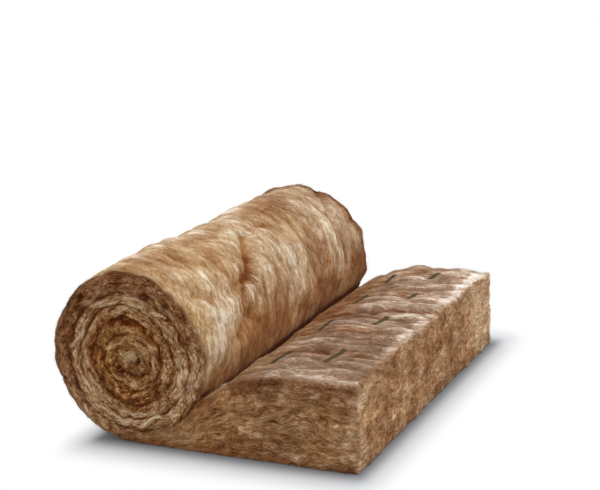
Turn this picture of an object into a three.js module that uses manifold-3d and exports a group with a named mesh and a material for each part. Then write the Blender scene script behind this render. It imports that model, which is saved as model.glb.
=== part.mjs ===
// Roll of glass wool insulation, partly unrolled. Millimetres, +Z up.
//
// The roll is one blanket of springy wool. Wound up, each turn is squeezed thin; where the
// free end runs out from under the roll it swells back to its full loft. The roll's axis
// runs along Y and the free end runs out along +X. The origin is on the floor, at the
// middle of the footprint.

import * as THREE from "three";
import { mergeVertices } from "three/addons/utils/BufferGeometryUtils.js";
import Module from "manifold-3d";

// Driving dimensions
const BLANKET_WIDTH = 1200; // along the roll's axis
const BLANKET_LOFT = 250; // thickness where the wool has sprung back
const FREE_LENGTH = 688; // from below the roll's eye to the cut end
const ROLL_RADIUS = 252; // from the eye down to the floor
const TURN_PITCH = 40; // thickness of one squeezed turn
const OUTER_TURN_SPRING = 20; // how much thicker the outermost turn is on top, where nothing presses it
const NIP_ANGLE = 24; // degrees below the eye's level at which the free end leaves the roll
const NIP_GAP = 5; // between the roll and the free end, at the bottom of the crease
const SWELL_LENGTH = 295; // from the nip to full loft
const SWELL_SLOPE = 35; // degrees at which the free end's top leaves the nip
const EDGE_ROUNDING = 14; // on the blanket's cut edges
const SEAM_WIDTH = 16; // of the furrow between two turns, where it meets the end
const SEAM_DEPTH = 22;
const EYE_RADIUS = 15; // of the pit where the winding starts
const EYE_DEPTH = 30;

// The wool's soft forms: pillows, and hollows where height is below 0. On the roll, around and
// across are a form's half lengths round the roll and along its axis. A place is given by its
// turn, counted as for the winding, and y from the middle of the blanket's width.
const ROLL_FORMS = [
  { height: 16, around: 105, across: 115, turn: 0.645, y: -440 },
  { height: 12, around: 75, across: 105, turn: 0.58, y: -240 },
  { height: 12, around: 80, across: 105, turn: 0.668, y: -135 },
  { height: 9, around: 100, across: 90, turn: 0.625, y: 100 },
  { height: 9, around: 110, across: 70, turn: 0.655, y: 380 },
  { height: 8, around: 80, across: 90, turn: 0.5, y: 260 },
  { height: -10, around: 55, across: 60, turn: 0.542, y: -410 },
  { height: -14, around: 60, across: 48, turn: 0.617, y: -160 },
  { height: -12, around: 55, across: 45, turn: 0.697, y: -322 },
  { height: -10, around: 50, across: 110, turn: 0.74, y: -80 },
  { height: -10, around: 50, across: 75, turn: 0.557, y: 110 },
  { height: -8, around: 80, across: 45, turn: 0.665, y: 255 },
  { height: -7, around: 90, across: 80, turn: 0.5, y: -110 },
  { height: 9, around: 110, across: 120, turn: 0.42, y: -300 },
  { height: -8, around: 80, across: 90, turn: 0.4, y: 60 },
  { height: 8, around: 100, across: 110, turn: 0.37, y: 320 },
  { height: -9, around: 90, across: 80, turn: 0.3, y: -150 },
  { height: 10, around: 120, across: 110, turn: 0.24, y: 120 },
  { height: 8, around: 100, across: 110, turn: 0.19, y: -380 },
  { height: -8, around: 90, across: 80, turn: 0.16, y: 400 },
];
// On the free end's top, along and across run along x and y, and x is from below the roll's eye.
const TOP_FORMS = [
  { height: 7, along: 110, across: 80, x: 560, y: -480 },
  { height: -7, along: 120, across: 60, x: 470, y: -340 },
  { height: 7, along: 120, across: 70, x: 540, y: -130 },
  { height: -8, along: 110, across: 60, x: 560, y: 10 },
  { height: 7, along: 110, across: 60, x: 590, y: 160 },
  { height: -7, along: 100, across: 55, x: 500, y: 290 },
  { height: 9, along: 120, across: 80, x: 560, y: 450 },
  { height: 6, along: 80, across: 90, x: 300, y: -420 },
  { height: -6, along: 80, across: 80, x: 330, y: -180 },
  { height: 6, along: 80, across: 90, x: 310, y: 120 },
  { height: -6, along: 80, across: 70, x: 350, y: 400 },
];
// Creases: depth, half width, and the places they run through. On the roll these are turn and y.
const ROLL_CREASES = [
  { depth: 22, half: 24, path: [[0.555, -30], [0.576, -90], [0.608, -140], [0.631, -190], [0.643, -260]] },
  { depth: 14, half: 20, path: [[0.643, -260], [0.648, -340], [0.65, -410], [0.643, -490], [0.62, -550]] },
  { depth: 16, half: 20, path: [[0.662, -290], [0.683, -317], [0.699, -320], [0.712, -353], [0.726, -410]] },
  { depth: 10, half: 12, path: [[0.545, 75], [0.556, 105], [0.572, 115]] },
  { depth: 13, half: 14, path: [[0.54, 585], [0.566, 554], [0.62, 490], [0.665, 450], [0.75, 425]] },
];
// On the free end's top they are x and y.
const TOP_CREASES = [
  { depth: 16, half: 11, path: [[360, 20], [400, 30], [496, 70], [580, 85], [663, 103], [690, 100]] },
  { depth: 11, half: 10, path: [[450, 215], [480, 227], [591, 263], [676, 267]] },
  { depth: 8, half: 12, path: [[420, -200], [473, -213], [562, -223], [635, -188], [680, -190]] },
  { depth: 7, half: 12, path: [[340, -330], [410, -342], [509, -356], [560, -350]] },
  { depth: 8, half: 10, path: [[400, 370], [500, 400], [620, 395]] },
  { depth: 6, half: 10, path: [[500, -450], [600, -430], [680, -440]] },
];
const LIP_AWAY = 28; // from a crease on the top to the crest of the lip beside it
const LIP_SHARE = 0.5; // of the crease's depth, which the lip stands up
// Clumps that the wool bunches into: height, length along the wool and width across it
const ROLL_CLUMPS = { height: 4.2, long: 125, wide: 85, slant: 0.3 };
const TOP_CLUMPS = { height: 7, long: 170, wide: 55, slant: 0.1 };
const PRESSED_ROWS = [400, 540]; // x of the rows where the free end was pressed flat to be marked
const PRESSED_HALF = 30; // half the width of such a row
const PRESSED_SHARE = 0.75; // of the relief there, which the pressing takes away
const CALM_TURNS = 0.06; // before the nip, over which the roll's own relief dies down
const CALM_SHARE = 0.8;

// How far the -Y end of the roll is out of round: turns, and distances out
const OUT_OF_ROUND = [
  [0.083, 0],
  [0.167, -8],
  [0.25, -3],
  [0.375, -9],
  [0.494, 3],
  [0.536, -3],
  [0.631, -9],
  [0.694, 0],
  [0.736, 10],
  [0.778, 9],
];
const OUT_OF_ROUND_LENGTH = 500; // in from the end, over which most of it is lost
const FRONT_BELLY = 18; // how far the roll's front sags out near its -Y end, and its back
const BACK_BELLY = 6;
const BELLY_START = 70; // in from the end, to where the bellies are full
const FRONT_FADE = [150, 1000]; // distances from the end between which each belly dies down
const BACK_FADE = [50, 300];
const FRONT_TURNS = [0.5, 0.62]; // between these, the top of the roll, its back becomes its front
const REST_HEIGHT = 90; // up to here the floor steadies the wool, and its forms are shallower
const PRESSED_LENGTH = 120; // past the nip, where the roll's forms still press on the free end
const FORMS_START = 80; // past the nip, to where the free end's own forms are full

// How finely the curves are drawn
const STEPS_PER_TURN = 40; // in the furrows
const SKIN_STEPS_PER_TURN = 52;
const STEPS_ACROSS = 40;
const SWELL_STEPS = 10;
const TOP_STEPS = 5;
const ROUNDING_STEPS = 3;
const OVERSHOOT = 1; // cutters start this far outside the wool

// The cut end's corners are rounder than the slit edges, so that the edges can run round them.
const CORNER_ROUNDING = 1.6 * EDGE_ROUNDING;

// The winding. A turn is counted from where the blanket lies on the floor, and runs up the
// back of the roll, over the top and down the front.
const NIP_TURN = 0.75 + NIP_ANGLE / 360;
const LAST_TURN = (ROLL_RADIUS - EYE_RADIUS) / TURN_PITCH;
const SEAM_LEAD = 0.01; // turns that a cutter for the seam starts before the nip, in the open crease

// Distance from the eye to the blanket's outer face.
function windingRadius(turn) {
  const spring = turn < 1 ? OUTER_TURN_SPRING * Math.sin(Math.PI * turn) ** 2 : 0;
  return ROLL_RADIUS - TURN_PITCH * turn + spring;
}

// The same place in the section's plane, where x runs along the free end and y is height.
// outside moves it straight out from the blanket's face.
function windingPoint(turn, outside = 0) {
  const angle = 2 * Math.PI * turn;
  const radius = windingRadius(turn) + outside;
  return new THREE.Vector2(-radius * Math.sin(angle), ROLL_RADIUS - radius * Math.cos(angle));
}

// The free end's top, from the nip to the cut end's upper corner.
function freeEndTop() {
  const nip = windingPoint(NIP_TURN, NIP_GAP);
  const slopeRun = (BLANKET_LOFT - nip.y) / Math.tan(THREE.MathUtils.degToRad(SWELL_SLOPE));
  const bend = new THREE.Vector2(nip.x + slopeRun, BLANKET_LOFT);
  const full = new THREE.Vector2(nip.x + SWELL_LENGTH, BLANKET_LOFT);
  const corner = new THREE.Vector2(FREE_LENGTH - CORNER_ROUNDING, BLANKET_LOFT);
  const swell = new THREE.QuadraticBezierCurve(nip, bend, full).getPoints(SWELL_STEPS);
  const level = new THREE.LineCurve(full, corner).getPoints(TOP_STEPS);
  return [...swell, ...level.slice(1)];
}

// Outline of the blanket seen along the roll's axis: the outermost turn and the free end.
function blanketOutline() {
  const outline = new THREE.Shape();
  outline.moveTo(0, 0);
  const steps = Math.round(NIP_TURN * SKIN_STEPS_PER_TURN);
  for (let step = 1; step <= steps; step++) {
    const point = windingPoint((NIP_TURN * step) / steps);
    outline.lineTo(point.x, point.y);
  }
  for (const point of freeEndTop()) outline.lineTo(point.x, point.y);
  outline.quadraticCurveTo(FREE_LENGTH, BLANKET_LOFT, FREE_LENGTH, BLANKET_LOFT - CORNER_ROUNDING);
  outline.lineTo(FREE_LENGTH, CORNER_ROUNDING);
  outline.quadraticCurveTo(FREE_LENGTH, 0, FREE_LENGTH - CORNER_ROUNDING, 0);
  outline.closePath();
  return outline;
}

const AROUND = 2 * Math.PI * ROLL_RADIUS;
const rollForms = ROLL_FORMS.map((form) => ({ ...form, far: form.turn * AROUND, half: form.around }));
const topForms = TOP_FORMS.map((form) => ({ ...form, far: form.x, half: form.along }));

// How high the forms stand at a place. far is counted round the roll, or along the free end.
function formHeight(forms, far, y) {
  let total = 0;
  for (const form of forms) {
    const lengthwise = (far - form.far) / form.half;
    const crosswise = (y - form.y) / form.across;
    total += form.height * Math.exp(-(lengthwise ** 2) - crosswise ** 2);
  }
  return total;
}

// Distance of a place from a path of straight pieces.
function distanceToPath(path, far, y) {
  const place = new THREE.Vector3(far, y, 0);
  const nearest = new THREE.Vector3();
  const gaps = path.slice(1).map((end, i) => {
    const piece = new THREE.Line3(new THREE.Vector3(...path[i], 0), new THREE.Vector3(...end, 0));
    return piece.closestPointToPoint(place, true, nearest).distanceTo(place);
  });
  return Math.min(...gaps);
}

// Depth of the creases at a place. scale makes the first number of their places a distance.
function creaseDepth(creases, scale, far, y) {
  const depths = creases.map(({ depth, half, path }) => {
    const line = path.map(([along, across]) => [along * scale, across]);
    return depth * Math.exp(-((distanceToPath(line, far, y) / half) ** 2));
  });
  return Math.max(...depths);
}

// Height of the clumps at a place: rounded tops of many shapes, with creases between them.
function clumpHeight({ height, long, wide }, far, y) {
  const { sin, sqrt, abs, PI } = Math;
  const u = (PI * far) / long;
  const v = (PI * y) / wide;
  const a = u + 1.1 * sin(0.37 * v + 0.6 * sin(0.23 * u)) + 0.7 * sin(0.61 * v + 2);
  const b = v + 1.2 * sin(0.41 * u + 0.5 * sin(0.19 * v)) + 0.6 * sin(0.73 * u + 1);
  const wave = 0.6 * sin(a) * sin(b) + 0.3 * sin(0.57 * a + 0.35 * b);
  return height * (2.6 * sqrt(abs(wave) + 0.02) - 1.2);
}

// 0 before the first of two places, 1 past the second, with a smooth step between.
function eased(value, [from, to]) {
  return THREE.MathUtils.smoothstep(value, from, to);
}

// Distance out at a turn, going smoothly from one place in OUT_OF_ROUND to the next.
function outOfRound(turn) {
  let total = OUT_OF_ROUND[0][1];
  for (let i = 1; i < OUT_OF_ROUND.length; i++) {
    const [from, first] = OUT_OF_ROUND[i - 1];
    const [to, second] = OUT_OF_ROUND[i];
    total += (second - first) * eased(turn, [from, to]);
  }
  return total;
}

// How far the roll's outer face stands out from the even winding at a turn and y.
function rollSwelling(turn, y) {
  const fromEnd = y + BLANKET_WIDTH / 2;
  const front = eased(turn, FRONT_TURNS);
  const frontBelly = FRONT_BELLY * front * (1 - 0.9 * eased(fromEnd, FRONT_FADE));
  const backBelly = BACK_BELLY * (1 - front) * (1 - eased(fromEnd, BACK_FADE));
  const bellies = (frontBelly + backBelly) * eased(fromEnd, [0, BELLY_START]);
  const rim = outOfRound(turn) * (1 - 0.6 * eased(fromEnd, [0, OUT_OF_ROUND_LENGTH]));
  return bellies + rim + formHeight(rollForms, turn * AROUND, y);
}

// How far creases and clumps move the roll's outer face out, less so where it nears the nip.
function rollRelief(turn, y) {
  const far = turn * AROUND;
  const clumps = clumpHeight(ROLL_CLUMPS, far + ROLL_CLUMPS.slant * y, y);
  const calm = 1 - CALM_SHARE * eased(turn, [NIP_TURN - CALM_TURNS, NIP_TURN]);
  return calm * (clumps - creaseDepth(ROLL_CREASES, AROUND, far, y));
}

// How far forms, creases and clumps lift the free end's top.
function topRelief(x, y) {
  const lip = LIP_SHARE * creaseDepth(TOP_CREASES, 1, x, y - LIP_AWAY);
  const clumps = clumpHeight(TOP_CLUMPS, x, y + TOP_CLUMPS.slant * x);
  let relief = lip + clumps - creaseDepth(TOP_CREASES, 1, x, y);
  for (const row of PRESSED_ROWS) {
    relief *= 1 - PRESSED_SHARE * Math.exp(-(((x - row) / PRESSED_HALF) ** 2));
  }
  return formHeight(topForms, x, y) + relief;
}

// Moves a point of the even blanket to where the soft wool has it. Inner turns move less.
function soften(point) {
  const nip = windingPoint(NIP_TURN, NIP_GAP);
  const radius = Math.hypot(point.x, point.z - ROLL_RADIUS);
  const turn = (Math.atan2(-point.x, ROLL_RADIUS - point.z) / (2 * Math.PI) + 1) % 1;
  const onRoll = radius < windingRadius(turn) + NIP_GAP / 2;
  const share = Math.min(radius / windingRadius(turn), 1);
  const swollen = rollSwelling(turn, point.y) * share ** 2 + rollRelief(turn, point.y) * share ** 8;
  const pressed = onRoll ? 1 : 1 - eased(point.x, [nip.x, nip.x + PRESSED_LENGTH]);
  const steadied = eased(point.z, [0, REST_HEIGHT]);
  const out = (swollen * pressed * steadied) / Math.max(radius, 1);
  point.x += out * point.x;
  point.z += out * (point.z - ROLL_RADIUS);
  if (!onRoll && point.z > BLANKET_LOFT / 2) {
    point.z += topRelief(point.x, point.y) * eased(point.x, [nip.x, nip.x + FORMS_START]);
  }
  return point;
}

function softenAll(geometry) {
  const { position } = geometry.attributes;
  const point = new THREE.Vector3();
  for (let i = 0; i < position.count; i++) {
    soften(point.fromBufferAttribute(position, i));
    position.setXYZ(i, point.x, point.y, point.z);
  }
  return geometry;
}

// The outline carried across the blanket's width, its two slit edges rounded over.
function blanketBody() {
  const body = new THREE.ExtrudeGeometry(blanketOutline(), {
    depth: BLANKET_WIDTH - 2 * EDGE_ROUNDING,
    steps: STEPS_ACROSS,
    curveSegments: ROUNDING_STEPS,
    bevelThickness: EDGE_ROUNDING,
    bevelSize: EDGE_ROUNDING,
    bevelOffset: -EDGE_ROUNDING,
    bevelSegments: ROUNDING_STEPS,
  });
  body.translate(0, 0, EDGE_ROUNDING - BLANKET_WIDTH / 2);
  return softenAll(body.rotateX(Math.PI / 2));
}

// The line between one turn and the next, from the open crease in to the eye.
class TurnSeam extends THREE.Curve {
  constructor(end) {
    super();
    this.end = end;
  }

  getPoint(t) {
    const turn = THREE.MathUtils.lerp(NIP_TURN - SEAM_LEAD, LAST_TURN, t);
    const point = windingPoint(turn, NIP_GAP / 2);
    return soften(new THREE.Vector3(point.x, (this.end * BLANKET_WIDTH) / 2, point.y));
  }
}

// Cutter for the furrow along a seam. Its flanks are hollow, so the turns beside it stand
// crowned. end is -1 or 1, for the end of the roll at -Y or +Y.
function seamFurrow(end) {
  const waistDepth = SEAM_DEPTH / 3;
  const waist = SEAM_WIDTH / 5;
  const flare = (SEAM_WIDTH / 2 - waist) / waistDepth;
  const mouth = SEAM_WIDTH / 2 + flare * OVERSHOOT;
  const section = new THREE.Shape();
  section.moveTo(-OVERSHOOT * end, mouth);
  section.lineTo(waistDepth * end, waist);
  section.lineTo(SEAM_DEPTH * end, 0);
  section.lineTo(waistDepth * end, -waist);
  section.lineTo(-OVERSHOOT * end, -mouth);
  section.closePath();
  return new THREE.ExtrudeGeometry(section, {
    extrudePath: new TurnSeam(end),
    steps: Math.round((LAST_TURN - NIP_TURN) * STEPS_PER_TURN),
    bevelEnabled: false,
  });
}

// Cutter for the pit at the eye of one end.
function eyePit(end) {
  const pit = new THREE.CylinderGeometry(EYE_RADIUS, EYE_RADIUS / 2, EYE_DEPTH + OVERSHOOT, 16);
  pit.translate(0, (OVERSHOOT - EYE_DEPTH) / 2, 0);
  if (end < 0) pit.rotateX(Math.PI);
  return pit.translate(0, (end * BLANKET_WIDTH) / 2, ROLL_RADIUS);
}

const wasm = await Module();
wasm.setup();

function solidOf(geometry) {
  const bare = geometry.clone();
  bare.deleteAttribute("normal");
  bare.deleteAttribute("uv");
  const merged = mergeVertices(bare, 1e-3);
  return new wasm.Manifold(
    new wasm.Mesh({
      numProp: 3,
      vertProperties: new Float32Array(merged.attributes.position.array),
      triVerts: new Uint32Array(merged.index.array),
    }),
  );
}

function geometryOf(solid) {
  const { vertProperties, triVerts } = solid.getMesh();
  const geometry = new THREE.BufferGeometry();
  geometry.setAttribute("position", new THREE.BufferAttribute(vertProperties, 3));
  geometry.setIndex(new THREE.BufferAttribute(triVerts, 1));
  geometry.computeVertexNormals();
  return geometry;
}

function woolBlanket() {
  let blanket = solidOf(blanketBody());
  for (const end of [-1, 1]) {
    blanket = blanket.subtract(solidOf(seamFurrow(end)));
    blanket = blanket.subtract(solidOf(eyePit(end)));
  }
  const wool = new THREE.MeshStandardMaterial({ color: 0xa9784c, roughness: 1, metalness: 0 });
  const mesh = new THREE.Mesh(geometryOf(blanket), wool);
  mesh.name = "wool_blanket";
  return mesh;
}

const insulationRoll = new THREE.Group();
const blanket = woolBlanket();
const footprint = new THREE.Box3().setFromObject(blanket);
blanket.position.x = -(footprint.min.x + footprint.max.x) / 2;
insulationRoll.add(blanket);

export default insulationRoll;
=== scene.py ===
"""A roll of mineral wool insulation, partly unrolled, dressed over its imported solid.

Lengths are metres. Until mesh_of puts a piece in the frame, x is counted from below the roll's
eye, y from the middle of the blanket's width and z from the floor.
"""

import itertools
import math

import bpy
import numpy as np
from mathutils import Matrix, Vector, geometry, kdtree


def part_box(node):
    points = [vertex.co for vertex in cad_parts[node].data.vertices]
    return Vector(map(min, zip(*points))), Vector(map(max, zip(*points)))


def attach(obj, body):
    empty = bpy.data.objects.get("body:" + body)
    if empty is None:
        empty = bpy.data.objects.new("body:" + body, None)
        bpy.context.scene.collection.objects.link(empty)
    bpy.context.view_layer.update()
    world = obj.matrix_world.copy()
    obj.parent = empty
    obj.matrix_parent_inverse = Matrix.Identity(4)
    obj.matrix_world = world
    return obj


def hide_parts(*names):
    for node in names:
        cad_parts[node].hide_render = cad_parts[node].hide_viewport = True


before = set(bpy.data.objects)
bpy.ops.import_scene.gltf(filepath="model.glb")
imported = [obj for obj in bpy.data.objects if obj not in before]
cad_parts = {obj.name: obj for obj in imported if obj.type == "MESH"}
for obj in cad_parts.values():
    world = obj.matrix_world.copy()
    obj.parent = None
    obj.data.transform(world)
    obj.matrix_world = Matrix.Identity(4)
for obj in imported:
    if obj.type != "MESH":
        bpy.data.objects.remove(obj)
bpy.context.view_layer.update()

# Sizes of the blanket. Its width and the place of its cut end are read from the frame.
LOW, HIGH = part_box("wool_blanket")
WIDTH = HIGH.y - LOW.y
HALF = WIDTH / 2
RADIUS = 0.252
AROUND = 2 * math.pi * RADIUS  # once round the roll
FREE_END = 0.688  # from below the eye to the cut end
EYE_X = HIGH.x - FREE_END
LOFT = 0.250
PITCH = 0.040  # thickness of one squeezed turn
TOP_SPRING = 0.020  # how far the outer turn springs out at the top
NIP_TURN = 0.75 + 24 / 360  # where the free end leaves the roll
NIP_GAP = 0.005  # how far off the roll's skin it starts
SWELL_LENGTH = 0.295  # from the nip to where the free end has its full loft
SWELL_SLOPE = math.radians(35)
LAST_TURN = 5.9  # where the winding ends at the eye
CORNER = 0.008  # rounding along the cut end's top and bottom

# Rounding of the slit edges: round the roll, along the free end's top, up the cut end, at the floor
ROLL_EDGE, TOP_EDGE, CUT_EDGE, FLOOR_EDGE = 0.007, 0.011, 0.008, 0.004

# How finely the surface is drawn: the skin, the underside, along the slit turns, the free slit sides
SKIN_STEP, UNDERSIDE_STEP, TURN_STEP, SIDE_STEP = 0.0062, 0.015, 0.0054, 0.0060
TURN_ROWS = (0.0, 0.07, 0.18, 0.34, 0.5, 0.66, 0.82, 0.93)  # shares of a turn's thickness
BORDER_GAP = 0.003  # least room between the border of a slit side and the places inside it


# --- Noise and easing ---


class Noise:
    """Smooth noise, about -1 to 1, on points with any number of columns."""

    def __init__(self, seed, columns):
        dice = np.random.default_rng(seed)
        self.order = dice.permutation(256)
        slopes = dice.normal(size=(256, columns))
        self.slopes = slopes / np.linalg.norm(slopes, axis=1, keepdims=True)

    def __call__(self, *columns):
        points = np.stack(np.broadcast_arrays(*columns), -1)
        cell = np.floor(points).astype(int)
        part = points - cell
        ease = part**3 * (part * (part * 6 - 15) + 10)
        total = np.zeros(len(points))
        for corner in itertools.product((0, 1), repeat=points.shape[1]):
            index = np.zeros(len(points), int)
            for column, step in enumerate(corner):
                index = self.order[(index + cell[:, column] + step) & 255]
            weight = np.prod(np.where(corner, ease, 1 - ease), axis=1)
            total += weight * ((part - corner) * self.slopes[index]).sum(1)
        return 1.6 * total


def eased(low, high, value):
    """0 below low, 1 above high, with a smooth step between."""
    share = np.clip((value - low) / (high - low), 0, 1)
    return share * share * (3 - 2 * share)


def puffs(value):
    """Turns smooth noise into rounded puffs, about -1 to 1, with sharp creases between them."""
    return 2.6 * np.sqrt(np.abs(value) + 0.02) - 1.2


def bell(away, half):
    """1 where away is 0, falling smoothly to almost nothing at twice half."""
    return np.exp(-((away / half) ** 2))


def along_grain(noise, grain, length, thickness, across, shift=0):
    """Noise drawn out along the wool's layers, in locks of this length and thickness."""
    return noise(grain[:, 0] / length + shift, grain[:, 1] / length, grain[:, 2] / thickness, across)


# --- The section ---
# A turn is counted from below the eye, up the back of the roll, over the top and down the front.


def turn_radius(turn):
    spring = np.where(turn < 1, TOP_SPRING * np.sin(np.pi * turn) ** 2, 0)
    return RADIUS - PITCH * turn + spring


def on_turn(turn, radius):
    angle = 2 * np.pi * np.asarray(turn)
    return np.stack([-radius * np.sin(angle), RADIUS - radius * np.cos(angle)], -1)


def turn_of(x, z):
    """A point's turn, from 0 to 1, and its distance from the eye."""
    return np.arctan2(-x, RADIUS - z) / (2 * np.pi) % 1, np.hypot(x, z - RADIUS)


NIP = on_turn(NIP_TURN, turn_radius(NIP_TURN) + NIP_GAP)


def bezier(start, middle, end, count=40):
    t = np.linspace(0, 1, count)[:, None]
    return (1 - t) ** 2 * start + 2 * t * (1 - t) * middle + t * t * end


def spaced(line, step):
    """Points along a line at an even spacing near step, both ends kept."""
    run = np.linalg.norm(np.diff(line, axis=0), axis=1)
    far = np.concatenate([[0], np.cumsum(run)])
    at = np.linspace(0, far[-1], max(2, round(far[-1] / step) + 1))
    return np.stack([np.interp(at, far, line[:, column]) for column in range(2)], 1)


def swell_line():
    """The free end's top, from the nip to where it has its full loft."""
    run = (LOFT - NIP[1]) / math.tan(SWELL_SLOPE)
    full = np.array([NIP[0] + SWELL_LENGTH, LOFT])
    return bezier(NIP, np.array([NIP[0] + run, LOFT]), full)


def section(step):
    """Points round the section, starting below the eye, and how many of them are on the roll."""
    turns = np.linspace(0, NIP_TURN, 400)
    roll = spaced(on_turn(turns, turn_radius(turns)), step)
    end, near_end = FREE_END, FREE_END - CORNER
    top_corner = [np.array(p) for p in ((near_end, LOFT), (end, LOFT), (end, LOFT - CORNER))]
    low_corner = [np.array(p) for p in ((end, CORNER), (end, 0.0), (near_end, 0.0))]
    top = spaced(np.concatenate([swell_line(), bezier(*top_corner)]), step)
    cut = spaced(np.concatenate([[top_corner[2]], bezier(*low_corner)]), step)
    floor = spaced(np.stack([low_corner[2], np.zeros(2)]), UNDERSIDE_STEP)
    return np.concatenate([roll, top[:-1], cut[:-1], floor[:-1]]), len(roll)


def ceiling(x):
    """Height of the free end's top at x, or of the seam above it where it lies below the roll."""
    turns = np.linspace(1, NIP_TURN, 60)
    seam = on_turn(turns, turn_radius(turns))
    rise = swell_line()
    xs = np.concatenate([seam[:, 0], rise[:, 0]])
    zs = np.concatenate([seam[:, 1], rise[:, 1]])
    return np.interp(x, xs, zs)


# --- The wool's own shape ---

# How far the roll's -Y end is out of round: turns, and metres out
OUT_OF_ROUND = ((0.083, 0.0), (0.167, -0.008), (0.25, -0.003), (0.375, -0.009), (0.494, 0.003),
                (0.536, -0.003), (0.631, -0.009), (0.694, 0.0), (0.736, 0.010), (0.778, 0.009))
FRONT_BELLY, BACK_BELLY = 0.018, 0.006  # how far the roll sags out near that end

# Creases: depth, half width, and the places they run through. On the roll these are turn and y.
ROLL_CREASES = (
    (0.022, 0.024, ((0.555, -0.03), (0.576, -0.09), (0.608, -0.14), (0.631, -0.19), (0.643, -0.26))),
    (0.014, 0.020, ((0.643, -0.26), (0.648, -0.34), (0.650, -0.41), (0.643, -0.49), (0.62, -0.55))),
    (0.016, 0.020, ((0.662, -0.29), (0.683, -0.317), (0.699, -0.320), (0.712, -0.353), (0.726, -0.41))),
    (0.010, 0.012, ((0.545, 0.075), (0.556, 0.105), (0.572, 0.115))),
    (0.013, 0.014, ((0.54, 0.585), (0.566, 0.554), (0.62, 0.49), (0.665, 0.45), (0.706, 0.43),
                    (0.75, 0.425))),
)
# On the free end's top they are x and y.
TOP_CREASES = (
    (0.016, 0.011, ((0.36, 0.02), (0.40, 0.03), (0.496, 0.070), (0.58, 0.085), (0.663, 0.103), (0.69, 0.10))),
    (0.011, 0.010, ((0.45, 0.215), (0.48, 0.227), (0.591, 0.263), (0.676, 0.267))),
    (0.008, 0.012, ((0.42, -0.20), (0.473, -0.213), (0.562, -0.223), (0.635, -0.188), (0.68, -0.19))),
    (0.007, 0.012, ((0.34, -0.33), (0.41, -0.342), (0.509, -0.356), (0.56, -0.35))),
    (0.008, 0.010, ((0.40, 0.37), (0.50, 0.40), (0.62, 0.395))),
    (0.006, 0.010, ((0.50, -0.45), (0.60, -0.43), (0.68, -0.44))),
)
# Pillows and hollows: height, half lengths along the wool and across it, and place. On the roll
# the place is turn and y.
ROLL_FORMS = (
    (0.016, 0.105, 0.115, (0.645, -0.440)),
    (0.012, 0.075, 0.105, (0.580, -0.240)),
    (0.012, 0.080, 0.105, (0.668, -0.135)),
    (0.009, 0.100, 0.090, (0.625, 0.100)),
    (0.009, 0.110, 0.070, (0.655, 0.380)),
    (0.008, 0.080, 0.090, (0.500, 0.260)),
    (-0.010, 0.055, 0.060, (0.542, -0.410)),
    (-0.014, 0.060, 0.048, (0.617, -0.160)),
    (-0.012, 0.055, 0.045, (0.697, -0.322)),
    (-0.010, 0.050, 0.110, (0.740, -0.080)),
    (-0.010, 0.050, 0.075, (0.557, 0.110)),
    (-0.008, 0.080, 0.045, (0.665, 0.255)),
    (-0.007, 0.090, 0.080, (0.500, -0.110)),
    (0.009, 0.110, 0.120, (0.420, -0.300)),
    (-0.008, 0.080, 0.090, (0.400, 0.060)),
    (0.008, 0.100, 0.110, (0.370, 0.320)),
    (-0.009, 0.090, 0.080, (0.300, -0.150)),
    (0.010, 0.120, 0.110, (0.240, 0.120)),
    (0.008, 0.100, 0.110, (0.190, -0.380)),
    (-0.008, 0.090, 0.080, (0.160, 0.400)),
)
# On the free end's top it is x and y.
TOP_FORMS = (
    (0.007, 0.110, 0.080, (0.560, -0.480)),
    (-0.007, 0.120, 0.060, (0.470, -0.340)),
    (0.007, 0.120, 0.070, (0.540, -0.130)),
    (-0.008, 0.110, 0.060, (0.560, 0.010)),
    (0.007, 0.110, 0.060, (0.590, 0.160)),
    (-0.007, 0.100, 0.055, (0.500, 0.290)),
    (0.009, 0.120, 0.080, (0.560, 0.450)),
    (0.006, 0.080, 0.090, (0.300, -0.420)),
    (-0.006, 0.080, 0.080, (0.330, -0.180)),
    (0.006, 0.080, 0.090, (0.310, 0.120)),
    (-0.006, 0.080, 0.070, (0.350, 0.400)),
)

# Guide marks inked across the free end: distance from below the eye, and spans from the -Y side
MARKS = ((0.378, ((0.132, 0.270), (0.460, 0.578), (0.755, 0.868), (1.020, 1.122))),
         (0.535, ((0.138, 0.292), (0.506, 0.632), (0.800, 0.892), (1.020, 1.118))))
MARK_WIDTH = 0.018
MARKED_ABOVE = 0.12  # the ink is only on the blanket's top
PRESSED_HALF = 0.032  # how far to each side of the marks the wool is pressed flatter

# Where the wool is paler, and where it is darker and redder: share, half lengths along the wool
# and across it, and place, written as for the pillows
ROLL_PALE = (
    (0.50, 0.060, 0.060, (0.668, -0.200)),
    (0.22, 0.050, 0.040, (0.672, -0.250)),
    (0.32, 0.060, 0.060, (0.660, 0.050)),
    (0.05, 0.080, 0.035, (0.640, 0.370)),
    (0.12, 0.050, 0.060, (0.596, 0.440)),
    (0.24, 0.070, 0.040, (0.610, -0.445)),
    (0.18, 0.070, 0.030, (0.680, -0.490)),
    (0.14, 0.050, 0.030, (0.720, -0.530)),
    (0.20, 0.045, 0.060, (0.530, -0.020)),
    (0.08, 0.045, 0.060, (0.520, -0.450)),
    (0.06, 0.060, 0.060, (0.490, 0.300)),
    (0.16, 0.060, 0.070, (0.670, -0.370)),
    (0.24, 0.050, 0.050, (0.645, -0.070)),
    (0.14, 0.080, 0.060, (0.740, 0.390)),
    (0.26, 0.100, 0.040, (0.750, -0.570)),
    (0.26, 0.070, 0.030, (0.675, -0.595)),
    (0.10, 0.120, 0.040, (0.620, -0.550)),
)
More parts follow.
